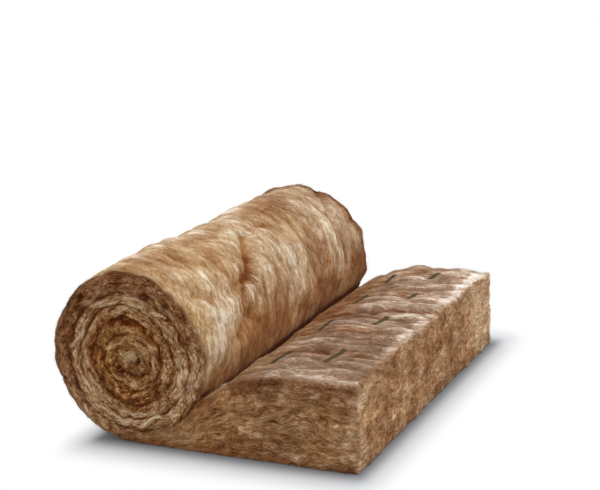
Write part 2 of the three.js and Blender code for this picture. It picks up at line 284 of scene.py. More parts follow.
# Of the darker, redder places on the roll, those along the creases and near the nip are painted shade.
ROLL_RED_AND_SHADE = (
    (0.60, 0.090, 0.040, (0.750, -0.320)),
    (0.35, 0.022, 0.035, (0.606, -0.140)),
    (0.40, 0.022, 0.045, (0.630, -0.205)),
    (0.40, 0.022, 0.050, (0.641, -0.285)),
    (0.50, 0.090, 0.110, (0.752, -0.190)),
    (0.20, 0.070, 0.060, (0.755, -0.450)),
    (0.30, 0.070, 0.350, (0.775, 0.050)),
    (0.45, 0.060, 0.055, (0.560, 0.115)),
    (0.50, 0.060, 0.070, (0.525, 0.260)),
    (0.35, 0.060, 0.035, (0.705, 0.290)),
    (0.35, 0.070, 0.050, (0.740, 0.180)),
    (0.45, 0.070, 0.060, (0.750, 0.500)),
    (0.35, 0.060, 0.030, (0.585, -0.310)),
    (0.30, 0.060, 0.030, (0.600, 0.575)),
    (0.15, 0.110, 0.050, (0.550, -0.560)),
    (0.55, 0.180, 0.024, (0.690, 0.592)),
)
TOP_PALE = (
    (0.42, 0.090, 0.038, (0.550, 0.145)),
    (0.40, 0.060, 0.024, (0.580, 0.050)),
    (0.20, 0.050, 0.040, (0.510, -0.470)),
    (0.30, 0.050, 0.035, (0.590, -0.425)),
    (0.30, 0.080, 0.030, (0.600, 0.330)),
    (0.26, 0.060, 0.070, (0.400, 0.500)),
    (0.22, 0.070, 0.035, (0.430, 0.350)),
    (0.24, 0.050, 0.080, (0.600, 0.530)),
    (0.06, 0.060, 0.040, (0.560, -0.250)),
)
TOP_RUSTY = (
    (0.45, 0.110, 0.045, (0.500, -0.160)),
    (0.40, 0.060, 0.050, (0.500, 0.250)),
    (0.45, 0.060, 0.070, (0.470, 0.520)),
    (0.40, 0.070, 0.060, (0.460, -0.350)),
    (0.40, 0.040, 0.030, (0.600, -0.360)),
    (0.30, 0.040, 0.040, (0.610, 0.460)),
    (0.50, 0.090, 0.300, (0.320, 0.150)),
    (0.30, 0.030, 0.030, (0.640, 0.200)),
)
# Where the wool is more golden: on the roll, and on the free end's slit sides, where it is x and z
ROLL_GOLD = (
    (0.6, 0.160, 0.120, (0.560, -0.400)),
    (0.4, 0.120, 0.060, (0.640, -0.560)),
    (0.8, 0.070, 0.045, (0.640, 0.425)),
    (0.5, 0.120, 0.080, (0.600, 0.220)),
    (0.5, 0.080, 0.080, (0.560, -0.180)),
    (0.6, 0.140, 0.040, (0.520, -0.580)),
    (0.3, 0.100, 0.025, (0.720, -0.590)),
    (0.5, 0.120, 0.025, (0.600, -0.585)),
)
SLIT_GOLD = (
    (1.0, 0.060, 0.025, (0.620, 0.170)),
    (0.9, 0.060, 0.020, (0.630, 0.120)),
    (0.9, 0.070, 0.025, (0.600, 0.060)),
    (0.4, 0.120, 0.050, (0.240, 0.070)),
)
# Tones of the slit turns, by distance from the eye as a share of the roll's radius
RING_PLACES = (0.0, 0.08, 0.18, 0.30, 0.46, 0.60, 0.72, 0.85, 1.0)
RING_TONES = (0.16, 0.10, -0.10, 0.04, -0.12, 0.02, 0.10, 0.0, -0.06)
# Paler and redder places on the roll's -Y end: share, half lengths in x and z, and x and z from the eye
END_PALE = (
    (0.12, 0.030, 0.050, (0.132, -0.045)),
    (0.18, 0.050, 0.013, (0.020, -0.098)),
    (0.14, 0.030, 0.022, (-0.136, -0.042)),
    (0.10, 0.035, 0.025, (-0.010, 0.010)),
    (0.10, 0.060, 0.030, (-0.040, 0.150)),
)
END_RUSTY = (
    (0.80, 0.016, 0.009, (-0.014, -0.028)),
    (0.70, 0.012, 0.011, (0.014, -0.016)),
    (0.60, 0.050, 0.012, (-0.015, 0.104)),
    (0.60, 0.016, 0.040, (0.100, 0.010)),
    (0.50, 0.030, 0.014, (0.058, -0.062)),
    (0.55, 0.014, 0.045, (-0.130, 0.030)),
    (0.45, 0.040, 0.014, (-0.060, -0.110)),
    (0.45, 0.014, 0.060, (0.175, 0.060)),
)
CUT_PALE = (
    (0.22, 0.070, 0.050, (-0.540, 0.190)),
    (0.20, 0.060, 0.090, (-0.250, 0.130)),
    (0.16, 0.080, 0.060, (0.050, 0.080)),
    (0.34, 0.080, 0.070, (0.430, 0.170)),
    (0.24, 0.060, 0.060, (0.540, 0.110)),
    (0.22, 0.028, 0.120, (-0.570, 0.100)),
)
CUT_RUSTY = (
    (0.55, 0.080, 0.050, (-0.020, 0.150)),
    (0.55, 0.070, 0.050, (0.330, 0.190)),
    (0.45, 0.060, 0.050, (-0.330, 0.200)),
    (0.40, 0.090, 0.040, (0.180, 0.070)),
    (0.35, 0.070, 0.050, (-0.480, 0.080)),
)


def out_of_round(turn):
    total = np.full(len(turn), OUT_OF_ROUND[0][1])
    for (start, first), (end, second) in zip(OUT_OF_ROUND[:-1], OUT_OF_ROUND[1:]):
        total += (second - first) * eased(start, end, turn)
    return total


body_noise = Noise(11, 2)
ripple_noise = Noise(13, 2)
stray_noise = Noise(14, 2)
cut_noise = Noise(31, 3)
clump_noise = Noise(41, 3)
layer_noise = Noise(42, 4)
hole_noise = Noise(43, 4)
drift_noise = Noise(44, 3)
level_noise = Noise(51, 2)
seam_noise = Noise(52, 2)
lock_noise = Noise(61, 4)
fleck_noise = Noise(62, 4)
patch_noise = Noise(63, 4)


def distance_to_path(path, far, y):
    """Distances of places from a path of straight pieces."""
    places = np.stack([far, y], -1)
    nearest = np.full(len(places), np.inf)
    for start, end in zip(path[:-1], path[1:]):
        run = end - start
        share = np.clip((places - start) @ run / (run @ run), 0, 1)
        gap = np.linalg.norm(places - start - share[:, None] * run, axis=1)
        nearest = np.minimum(nearest, gap)
    return nearest


def creased(creases, far, y, scale=1.0):
    """Depth of the creases at places on the skin; scale turns their first number into metres."""
    wander = 0.007 * stray_noise(far / 0.05, y / 0.05)
    total = np.zeros(len(far))
    for depth, width, path in creases:
        gap = distance_to_path(np.array(path) * (scale, 1), far + wander, y - wander)
        total = np.maximum(total, depth * bell(gap, width))
    return total


def swellings(forms, far, y, scale=1.0):
    """Height of the pillows and hollows at places on the skin; scale is as for creased."""
    total = np.zeros(len(far))
    for height, long, wide, (along, across) in forms:
        total += height * np.exp(-(((far - scale * along) / long) ** 2) - ((y - across) / wide) ** 2)
    return total


def on_skin(on_roll, on_top, x, y, z, wound):
    """The swellings of the roll's skin or of the free end's top, whichever a place is on."""
    far = AROUND * turn_of(x, z)[0]
    return np.where(wound, swellings(on_roll, far, y, AROUND), swellings(on_top, x, y))


def roll_form(turn, y):
    """How far the whole roll swells out at a turn and y: the smooth part of its shape."""
    inwards = y + HALF
    front = eased(0.50, 0.62, turn)
    bellies = FRONT_BELLY * front * (1 - 0.9 * eased(0.15, 1.0, inwards))
    bellies += BACK_BELLY * (1 - front) * (1 - eased(0.05, 0.3, inwards))
    end_form = out_of_round(turn) * (1 - 0.6 * eased(0, 0.5, inwards))
    return bellies * eased(0, 0.07, inwards) + end_form + swellings(ROLL_FORMS, AROUND * turn, y, AROUND)


def large_clumps(far, y, long, wide):
    """Rounded clumps of wool, each about long by wide, with creases between them."""
    u, v = np.pi * far / long, np.pi * y / wide
    a = u + 1.1 * np.sin(0.37 * v + 0.6 * np.sin(0.23 * u)) + 0.7 * np.sin(0.61 * v + 2)
    b = v + 1.2 * np.sin(0.41 * u + 0.5 * np.sin(0.19 * v)) + 0.6 * np.sin(0.73 * u + 1)
    return puffs(0.6 * np.sin(a) * np.sin(b) + 0.3 * np.sin(0.57 * a + 0.35 * b))


def small_clumps(far, y, long, wide):
    """Smaller clumps, of any shape."""
    shift = 0.4 * stray_noise(far / long * 0.8, y / wide * 0.8)
    return puffs(ripple_noise(far / long + shift, y / wide - shift))


def roll_wrinkles(turn, y):
    """Wrinkles and clumps along the roll's turn."""
    slanted = AROUND * turn + 0.3 * y
    large = 0.0042 * large_clumps(slanted, y, 0.125, 0.085)
    return large + 0.0020 * small_clumps(slanted, y, 0.060, 0.024)


def roll_puffs(turn, y):
    """Creases and wrinkles on the roll's skin."""
    far = AROUND * turn
    puff = 0.003 * body_noise((far + 0.3 * y) / 0.10 + 9, y / 0.07)
    return puff - creased(ROLL_CREASES, far, y, AROUND) + roll_wrinkles(turn, y)


def past_nip(x):
    """0 at the nip, 1 where the free end is clear of it."""
    return eased(0, 0.08, x - NIP[0])


def top_wrinkles(x, y):
    """Folds and clumps along the free end's top."""
    folds = 0.0070 * large_clumps(x, y + 0.1 * x, 0.17, 0.055) * past_nip(x)
    return folds + 0.0018 * small_clumps(x, y, 0.06, 0.020)


def top_puffs(x, y):
    """Folds and creases on the free end's top, pressed flatter where it is marked."""
    creases = creased(TOP_CREASES, x, y)
    lips = 0.5 * creased(TOP_CREASES, x, y - 0.028)
    pressed = sum(bell(x - along, PRESSED_HALF) for along, _ in MARKS)
    relief = (lips - creases) * past_nip(x) + top_wrinkles(x, y)
    return swellings(TOP_FORMS, x, y) * past_nip(x) + (1 - 0.94 * pressed) * relief


def cut_tufts(x, y, z):
    """Torn tufts on the cut end, largest along its top edge."""
    broad = 0.006 * cut_noise(y / 0.10, z / 0.06, x / 0.1)
    tuft = 0.0035 * cut_noise(y / 0.030, z / 0.016, x / 0.03)
    ragged = 0.006 * cut_noise(y / 0.035, 4.0, 2.0) * eased(0.20, 0.25, z)
    return broad + tuft + ragged


def rim_flare(turn, y):
    """How far the roll's +Y rim flares at each turn, 0 to 1.5: it is frayed."""
    return eased(0.53, 0.598, y) * np.clip(0.7 + 0.9 * seam_noise(turn * 23, 2.0), 0, 1.5)


def edge_waves(x, y, z):
    """How far the slit edges wander in and out, in long waves and in short ones."""
    from_middle, plus_side = np.abs(y), y > 0
    long = 0.003 * seam_noise(x / 0.16 + 7 * plus_side, z / 0.12) * eased(HALF - 0.09, HALF, from_middle)
    short = 0.0035 * seam_noise(x / 0.022, z / 0.022 + 5 * plus_side)
    return long + short * eased(HALF - 0.02, HALF, from_middle)


def moved(x, y, z, wound):
    """Places in the plain blanket moved to the wool's own shape."""
    turn, radius = turn_of(x, z)
    share = np.clip(radius / turn_radius(turn), 0, 1)
    on_roll = np.where(wound, 1, 1 - eased(NIP[0], NIP[0] + 0.12, x)) * eased(0.0, 0.09, z)
    calm = 1 - 0.8 * eased(NIP_TURN - 0.06, NIP_TURN, turn)
    flare = rim_flare(turn, y) * share**8
    out = roll_form(turn, y) * share**2 + roll_puffs(turn, y) * share**8 * calm + 0.006 * flare
    out *= on_roll / np.maximum(radius, 1e-6)
    up = np.where(wound, 0, np.clip(z / ceiling(x), 0, 1) ** 3)
    at_cut = eased(FREE_END - 0.06, FREE_END - 0.004, x)
    return np.stack([
        x + out * x + at_cut * cut_tufts(x, y, z),
        y + np.sign(y) * (edge_waves(x, y, z) + 0.004 * flare * on_roll),
        np.maximum(z + out * (z - RADIUS) + up * top_puffs(x, y), 0),
    ], -1)


# --- Slit sides ---


def edge_rounding(x, z, wound):
    """Radius of the slit edge nearest a place in the section."""
    free = CUT_EDGE + (TOP_EDGE - CUT_EDGE) * eased(0.17, 0.235, z)
    free = FLOOR_EDGE + (free - FLOOR_EDGE) * eased(0, 0.04, z)
    by_nip = ROLL_EDGE + (free - ROLL_EDGE) * eased(NIP[0], NIP[0] + 0.15, x)
    rounded = np.where(z < 0.02, FLOOR_EDGE + (by_nip - FLOOR_EDGE) * eased(0, 0.02, z), by_nip)
    return np.where(wound, ROLL_EDGE, rounded)


def depth_in_roll(x, z):
    """A wound place's turn counted along the winding, and its share of that turn's thickness."""
    turn, radius = turn_of(x, z)
    first, second = turn_radius(turn), turn_radius(turn + 1)
    in_first = (first - radius) / (first - second)
    deeper = np.where(radius < second, 1 + (second - radius) / PITCH, np.maximum(in_first, 0))
    return turn + np.floor(deeper), deeper - np.floor(deeper)


def grain_of(x, z, wound):
    """Coordinates that follow the wool's layers: two along the winding and one through them."""
    turn, radius = turn_of(x, z)
    angle = 2 * np.pi * turn
    reach = RADIUS * (0.45 + 0.55 * np.minimum(radius / RADIUS, 1))
    curl = 0.012 * drift_noise(x / 0.060, z / 0.045, 8.0) + 0.004 * drift_noise(x / 0.022, z / 0.018, 5.0)
    lifted = curl + 0.10 * (1 - np.tanh(x / 0.25))
    layered = z * (LOFT / ceiling(x)) ** 0.7 + lifted
    on_top = eased(-0.02, 0.0, z - ceiling(x)) * eased(FREE_END, FREE_END - 0.05, x)
    return np.stack([
        np.where(wound, -reach * np.sin(angle), x),
        np.where(wound, -reach * np.cos(angle), -RADIUS),
        np.where(wound, RADIUS - radius + 0.8 * curl, layered + (z - layered) * on_top),
    ], -1)


def crevice(x, z, distance, wound, side):
    """0 on the crown of a turn to about 1 at the bottom of the crevice beside it."""
    winding, share = depth_in_roll(x, z)
    width = 0.0038 + 0.0020 * level_noise(winding * 4.0, 3.1 + side)
    outer = bell(share * PITCH, width) * (distance > 0.004)
    inner = bell((1 - share) * PITCH, width)
    strength = 0.60 + 0.30 * eased(2.4, 1.6, winding) + 1.3 * clump_noise(x / 0.050, z / 0.050, 3.3 * side)
    return np.where(wound, (outer + inner) * np.clip(strength, 0, 1), 0)


def holes(x, z, distance, wound, side):
    """Dark gaps between torn layers, 0 to 1."""
    found = along_grain(hole_noise, grain_of(x, z, wound), 0.034, 0.011, 4.2 * side)
    return eased(0.50, 0.85, found) * eased(0.03, 0.08, distance)


def splits(x, z, wound, side):
    """Long dark lines where the slit turns have parted, 0 to 1."""
    grain = grain_of(x, z, wound)
    step = 0.001
    line, deeper = (along_grain(fleck_noise, grain + (0, 0, down), 0.10, 0.016, 6.0 * side, 8)
                    for down in (0, step))
    steepness = np.maximum(np.abs(deeper - line) / step, 25)
    some = along_grain(fleck_noise, grain, 0.16, 0.04, 8.0 * side)
    return (1 - eased(0.0, 0.0024, np.abs(line) / steepness)) * eased(-0.2, 0.3, some) * wound


def slit_relief(x, z, distance, wound, side):
    """How far a slit side's wool stands out past the blanket's nominal end; side is -1 or 1."""
    edge = edge_rounding(x, z, wound)
    rounding = edge * (1 - np.sqrt(1 - np.clip(1 - distance / edge, 0, 1) ** 2))
    winding, share = depth_in_roll(x, z)
    layer = along_grain(layer_noise, grain_of(x, z, wound), 0.08, 0.010, 5.0 * side)
    clump = clump_noise(x / 0.040, z / 0.028, 7.0 * side)
    level = 0.004 * (1 - (2 * share - 1) ** 2) + 0.007 * level_noise(winding * 1.9, 9.0 + side)
    heart = 0.008 * eased(0.10, 0.02, np.hypot(x, z - RADIUS))
    bark = np.where(wound, 0.0040, 0.0020)
    body = bark * puffs(layer) + 0.0050 * clump + np.where(wound, level - heart, 0)
    dark = 0.008 * crevice(x, z, distance, wound, side) + 0.005 * holes(x, z, distance, wound, side)
    parted = 0.005 * splits(x, z, wound, side) * eased(0.004, 0.02, distance)
    return body * eased(0, 0.02, distance) - rounding - dark - parted


def strayed(x, z, distance, side):
    """Places on a slit side shifted in its plane, so that the turns wander as real ones do."""
    reach = eased(0.004, 0.035, distance)
    shifts = [0.010 * drift_noise(x / 0.09, z / 0.09, 2.0 * side + own)
              + 0.004 * drift_noise(x / 0.035, z / 0.035, 3.0 * side + own) for own in (0.0, 9.5)]
    return x + reach * shifts[0], z + reach * shifts[1]


def skin_pits(x, y, z, wound):
    """How dark and reddish the skin is: painted shade at the nip, in creases and in hollows, and redder
    places.
    """
    to_nip = np.hypot(x - NIP[0], z - NIP[1])
    # Painted shade round the nip, along the creases and in the hollows between wrinkles, with redder places
    # added.
    nip = 0.60 * bell(to_nip, 0.150) * np.where(wound, 1, 0.75)
    turn = turn_of(x, z)[0]
    far = AROUND * turn
    on_roll, on_top = 14 * creased(ROLL_CREASES, far, y, AROUND), 24 * creased(TOP_CREASES, x, y)
    creases = np.where(wound, on_roll, on_top)
    height = on_skin(ROLL_FORMS, TOP_FORMS, x, y, z, wound)
    height += np.where(wound, roll_wrinkles(turn, y), top_wrinkles(x, y))
    hollow_shade = 0.55 * eased(0.003, 0.018, -height)
    ragged = 1 + 0.9 * ripple_noise(far / 0.03 + x / 0.03, y / 0.016)
    red_and_shade = on_skin(ROLL_RED_AND_SHADE, TOP_RUSTY, x, y, z, wound) * ragged
    broad = np.clip(nip + creases + hollow_shade + red_and_shade, 0, 0.60)
    # A darker line painted as shade along the nip and the deepest creases.
    line = 0.95 * bell(to_nip, 0.018) * np.where(wound, 1, 0.7)
    line += 0.35 * eased(0.10, 0.34, creases) ** 2
    at_cut = cut_share(x, wound)
    cut = 0.45 * swellings(CUT_RUSTY, y, z) * (1 + 1.2 * ripple_noise(y / 0.03, z / 0.022))
    return np.clip((broad + line) * (1 - at_cut) + np.clip(cut, 0, 0.6) * at_cut, 0, 1)


def paleness(x, y, z, wound):
    """How much paler than elsewhere the skin is, in its pale places."""
    at_cut = cut_share(x, wound)
    pale = on_skin(ROLL_PALE, TOP_PALE, x, y, z, wound)
    return pale * (1 - at_cut) + swellings(CUT_PALE, y, z) * at_cut


def cut_share(x, wound):
    """1 on the cut end, 0 elsewhere."""
    return eased(FREE_END - 0.010, FREE_END - 0.004, x) * ~wound


def upper_layers(low, high, x, z):
    """0 to 1 up the free end's slit side from low to high, where it has swollen."""
    ragged = z + 0.03 * stray_noise(x / 0.06, z / 0.03)
    return eased(low, high, ragged) * eased(NIP[0] + 0.02, NIP[0] + 0.16, x)


def slit_redness_and_nip_shade(x, z, wound):
    """How reddish and dark the slit sides are: in a ring about the eye, towards the floor, along the swollen
    top, and at the nip, where it is painted shade.
    """
    arcs = along_grain(fleck_noise, grain_of(x, z, wound), 0.05, 0.012, 3.0)
    ring = bell(turn_of(x, z)[1] / RADIUS - 0.42, 0.16) * eased(-0.1, 0.5, arcs)
    floor = 0.40 * eased(0.040, 0.006, z + 0.02 * stray_noise(x / 0.05, 3.0))
    # Painted shade at the nip.
    nip = 0.6 * bell(np.hypot(x - NIP[0], z - NIP[1]), 0.040)
    band = 0.30 * upper_layers(0.19, 0.225, x, z) * eased(-0.2, 0.5, arcs)
    return np.where(wound, 0.6 * ring, floor + nip + band)


def slit_dullness(x, z, distance, wound):
    """How dark and dull the slit sides are: on the outer turn and along the top."""
    up_left = eased(-0.15, 0.20, z - RADIUS - x)
    inwards = distance - 0.035 * up_left + 0.02 * stray_noise(x / 0.04, z / 0.04)
    outer = eased(0.045, 0.0, inwards) * (0.6 + 0.6 * up_left)
    return np.where(wound, outer, 0.6 * upper_layers(0.185, 0.228, x, z))


def slit_pits(x, z, distance, wound, side):
    """How dark and reddish a slit side is: painted shade in crevices, holes and splits, and redder by place.
    """
    # Painted shade in the crevices between turns, in holes and in splits.
    pits = 0.95 * crevice(x, z, distance, wound, side) + 0.3 * holes(x, z, distance, wound, side)
    pits += slit_redness_and_nip_shade(x, z, wound) + 0.70 * splits(x, z, wound, side) * eased(0.004, 0.02, distance)
    if side < 0:
        ragged = np.clip(0.7 + 1.2 * hole_noise(x / 0.02, z / 0.012, 3.0, 2.0), 0, 2)
        pits += 0.8 * swellings(END_RUSTY, x, z - RADIUS) * ragged * wound
    return np.clip(pits, 0, 1)


def towards_eye(x, z, wound):
    """The direction of the blanket's length at each place, towards the eye."""
    angle = 2 * np.pi * turn_of(x, z)[0]
    slope = (ceiling(x + 0.005) - ceiling(x - 0.005)) / 0.01 * np.clip(z / ceiling(x), 0, 1)
    flat = np.zeros(len(x))
    round_eye = np.stack([-np.cos(angle), flat, np.sin(angle)], -1)
    on_free = np.stack([flat - 1, flat, -slope], -1)
    found = np.where(wound[:, None], round_eye, on_free)
    return found / np.linalg.norm(found, axis=1, keepdims=True)


def goldenness(x, y, z, wound, slit):
    """Where the wool is more golden: about the eye, near the roll's -Y end and in patches, 0 to 1."""
    turn, radius = turn_of(x, z)
    eye = eased(0.66, 0.40, radius / RADIUS)
    skin = swellings(ROLL_GOLD, AROUND * turn, y, AROUND)
    free = swellings(SLIT_GOLD, x, z)
    return np.clip(np.where(wound, skin + (eye - skin) * slit, free * slit), 0, 1)


# How far the locks on the roll lean along its length, for each metre round it
LEAN = 0.30


class WoolTone:
    """How pale the wool is at places on the blanket."""

    def __init__(self, grain, plain, wound, slit, crest):
        self.grain, self.wound, self.slit, self.crest = grain, wound, slit, crest
        self.x, self.y, self.z = x, y, z = plain.T
        self.turn, self.radius = turn_of(x, z)
        self.pale = 0.35 * paleness(x, y, z, wound)
        self.leant = y + LEAN * np.where(wound, AROUND * self.turn, 0) * (1 - slit)
        self.fine = along_grain(lock_noise, grain, 0.040, 0.008, self.leant / 0.009, 5)
        self.patch = along_grain(patch_noise, grain, 0.18, 0.07, y / 0.12)
        self.blotch = along_grain(patch_noise, grain, 0.035, 0.02, y / 0.030, 4)

    def everywhere(self):
        skin = self.skin() + self.skin_by_place()
        inside = np.where(self.wound, self.turns(), self.free_side())
        inside += (self.cut_end() - inside) * cut_share(self.x, self.wound)
        return np.clip(skin + (inside - skin) * self.slit, 0, 1)

    def skin(self):
        """Long locks, paler in the pale places, with painted highlights on the crests of wrinkles and painted
        shade in their hollows.
        """
        lock = along_grain(lock_noise, self.grain, 0.09, 0.020, self.leant / 0.022)
        gleam = along_grain(lock_noise, self.grain, 0.070, 0.016, self.leant / 0.010, 7)
        caught = eased(-0.1, 0.45, self.patch + 40 * self.crest + 2.2 * self.pale)
        shine = 0.30 * eased(0.20, 0.80, gleam) * caught
        shine *= 1 - 0.6 * eased(0.56, 0.48, self.turn) * eased(0.25, 0.35, self.turn) * self.wound
        tone = 0.10 * lock + 0.08 * self.fine + 0.24 * self.patch + 0.10 * self.blotch
        # The crests of wrinkles are painted paler and their hollows darker: painted light and shade of the
        # relief.
        tone += shine + 28 * self.crest
        tone = np.where(self.wound, 0.55 + tone, 0.42 + 0.8 * tone)
        tufts = np.clip(0.6 + 2.0 * lock + 1.2 * self.fine, 0, 2)
        return tone + self.pale * tufts * np.where(self.wound, 1, 0.7)

    def skin_by_place(self):
        """What is added to the skin's tone, place by place."""
        x, y, turn = self.x, self.y, self.turn
        # Painted light above the nip, lifting the shade there.
        roll = 0.12 * eased(0.69, 0.77, turn)  # above the nip
        roll += 0.08 * bell(y + 0.54, 0.12) * bell(turn - 0.68, 0.06)  # at the -Y end's front
        roll -= 0.14 * eased(0.60, 0.50, turn) * eased(0.0, 0.25, y)  # the top, in its +Y half
        roll -= 0.12 * eased(0.56, 0.50, turn) * eased(0.30, -0.10, y)  # the top, in its -Y half
        roll -= 0.26 * eased(0.555, 0.590, y)  # the +Y rim
        # Painted light beside the nip, lifting the shade there.
        free = 0.32 * bell(x - NIP[0] - 0.03, 0.06)  # beside the nip
        free += 0.05 * eased(0.30, 0.50, y)
        return np.where(self.wound, roll, free)

    def turns(self):
        """Layers, thin dark lines and pale arcs on the slit turns."""
        fleck = along_grain(fleck_noise, self.grain, 0.045, 0.0095, self.y / 0.04)
        cream = along_grain(fleck_noise, self.grain, 0.09, 0.020, self.y / 0.07 + 4, 5)
        arc = (1 - eased(0.0, 0.10, np.abs(cream))) * eased(-0.1, 0.4, self.blotch - self.patch)
        tone = 0.60 + 0.36 * fleck + 0.36 * self.layer() + 0.12 * self.fine + 0.12 * self.patch
        tone += 0.30 * arc - 0.16 * self.line()
        tone += np.interp(self.radius / RADIUS, RING_PLACES, RING_TONES)
        return tone + np.where(self.y < 0, swellings(END_PALE, self.x, self.z - RADIUS), 0)

    def free_side(self):
        """Layers and small tufts on the free end's slit sides."""
        tufts = along_grain(fleck_noise, self.grain, 0.024, 0.0085, self.y / 0.03, 2)
        tone = 0.45 + 0.20 * tufts + 0.10 * self.layer() + 0.08 * self.fine
        tone += 0.26 * self.patch + 0.24 * self.blotch - 0.10 * self.line()
        return tone + 0.07 * bell(self.x - 0.15, 0.12) + 0.04 * eased(0.12, 0.03, self.z)

    def cut_end(self):
        """Torn tufts on the cut end."""
        tuft = clump_noise(self.y / 0.070, self.z / 0.045, 6.0)
        small = clump_noise(self.y / 0.022, self.z / 0.012, 2.0)
        tone = 0.47 + 0.22 * tuft + 0.18 * small + 0.12 * self.blotch + 2.0 * self.pale
        return tone + 0.14 * eased(0.15, 0.50, self.y) + 0.05 * eased(-0.35, -0.50, self.y)

    def layer(self):
        return along_grain(fleck_noise, self.grain, 0.120, 0.0150, self.y / 0.09, 3)

    def line(self):
        """Thin lines between layers, 0 to 1."""
        split = along_grain(fleck_noise, self.grain, 0.10, 0.018, self.y / 0.07, 8)
        return (1 - eased(0.0, 0.13, np.abs(split))) * eased(-0.4, 0.2, self.blotch + self.patch)


def tone_of(grain, plain, wound, slit, crest):
    """How pale the wool is at each place, from 0 to 1."""
    return WoolTone(grain, plain, wound > 0.5, slit, crest).everywhere()


# --- The blanket's mesh ---


def wound_points():
    """Places in the wound turns' rows, from the outermost in to the eye."""
    places = [on_turn(0.0, 0.0)]
    turn = 0.0
    while turn < LAST_TURN:
        outer, inner = turn_radius(turn), turn_radius(turn + 1)
        radii = [outer + (inner - outer) * share for share in TURN_ROWS]
        places += [on_turn(turn, radius) for radius in radii if radius > 0.006]
        turn += TURN_STEP / (2 * np.pi * max(outer, 0.012))
    return np.array(places)


def free_points():
    """Places all over the free end's slit side."""
    dice = np.random.default_rng(3)
    x, z = (np.arange(BORDER_GAP, end, SIDE_STEP) for end in (FREE_END, LOFT))
    x, z = np.meshgrid(x, z)
    x[1::2] += SIDE_STEP / 2
    places = np.stack([x.ravel(), z.ravel()], 1)
    places += dice.uniform(-0.2, 0.2, places.shape) * SIDE_STEP
    below_roll = np.where(places[:, 0] < NIP[0], BORDER_GAP, 0)
    return places[places[:, 1] < ceiling(places[:, 0]) - below_roll]


def distance_to(line, places):
    tree = kdtree.KDTree(len(line))
    for index, (x, z) in enumerate(line):
        tree.insert((x, z, 0), index)
    tree.balance()
    return np.array([tree.find((x, z, 0))[2] for x, z in places])


def slit_side(border):
    """Places inside the section, their distances from its border, which are wound, and triangles."""
    wound_ones, free_ones = wound_points(), free_points()
    inside = np.concatenate([wound_ones, free_ones])
    wound = np.arange(len(inside)) < len(wound_ones)
    distance = distance_to(section(0.0015)[0], inside)
    kept = distance > BORDER_GAP
    inside, wound, distance = inside[kept], wound[kept], distance[kept]
    corners = [Vector(p) for p in np.concatenate([border, inside])]
    edges = [(i, (i + 1) % len(border)) for i in range(len(border))]
    made = geometry.delaunay_2d_cdt(corners, edges, [], 1, 1e-7)
    if len(made[0]) != len(corners):
        raise ValueError("two places in the slit side coincide")
    return inside, distance, wound, np.array(made[2])


def skin_corners(rows, columns):
    """Row and column of each corner of the skin's faces; the last row is the first one again."""
    row, column = np.meshgrid(np.arange(rows), np.arange(columns - 1), indexing="ij")
    corner_rows = np.stack([row, row + 1, row + 1, row], -1).reshape(-1, 4)
    corner_columns = np.stack([column, column, column + 1, column + 1], -1).reshape(-1, 4)
    return corner_rows, corner_columns


def smooth_normals(points, triangles):
    """Outward direction at each point, averaged over the triangles round it."""
    corners = points[triangles]
    facing = np.cross(corners[:, 1] - corners[:, 0], corners[:, 2] - corners[:, 0])
    total = np.zeros_like(points)
    for column in range(3):
        np.add.at(total, triangles[:, column], facing)
    return total / np.maximum(np.linalg.norm(total, axis=1, keepdims=True), 1e-12)


def fan(faces):
    """The triangles of an array of faces with three or four corners each."""
    return np.concatenate([faces[:, [0, i, i + 1]] for i in range(1, faces.shape[1] - 1)])


# The baked picture has the skin below, and above it the two slit sides beside each other.
SKIN_PICTURE = 0.605  # share of the picture's height
UNDERSIDE_SHARE = 0.1  # how much of its true length the underside gets there
SIDE_PICTURE_SCALE = 0.52  # picture widths in a metre
SIDE_PICTURE_LEFT = {-1: 0.004, 1: 0.504}
SIDE_PICTURE_LOW = 0.62
SIDE_MARGIN = 0.256  # metres from a side picture's left edge to the eye


def share_round(border):
    """How far round the section each of its points is, 0 to 1, in the baked picture."""
    run = np.linalg.norm(np.diff(border, axis=0, append=border[:1]), axis=1)
    run[border[:, 1] < 1e-6] *= UNDERSIDE_SHARE
    return np.concatenate([[0], np.cumsum(run)]) / run.sum()


def side_in_picture(places, side):
    """Where the places on a slit side are in the baked picture."""
    left = SIDE_PICTURE_LEFT[side] + SIDE_PICTURE_SCALE * (places[..., 0] + SIDE_MARGIN)
    return np.stack([left, SIDE_PICTURE_LOW + SIDE_PICTURE_SCALE * places[..., 1]], -1)


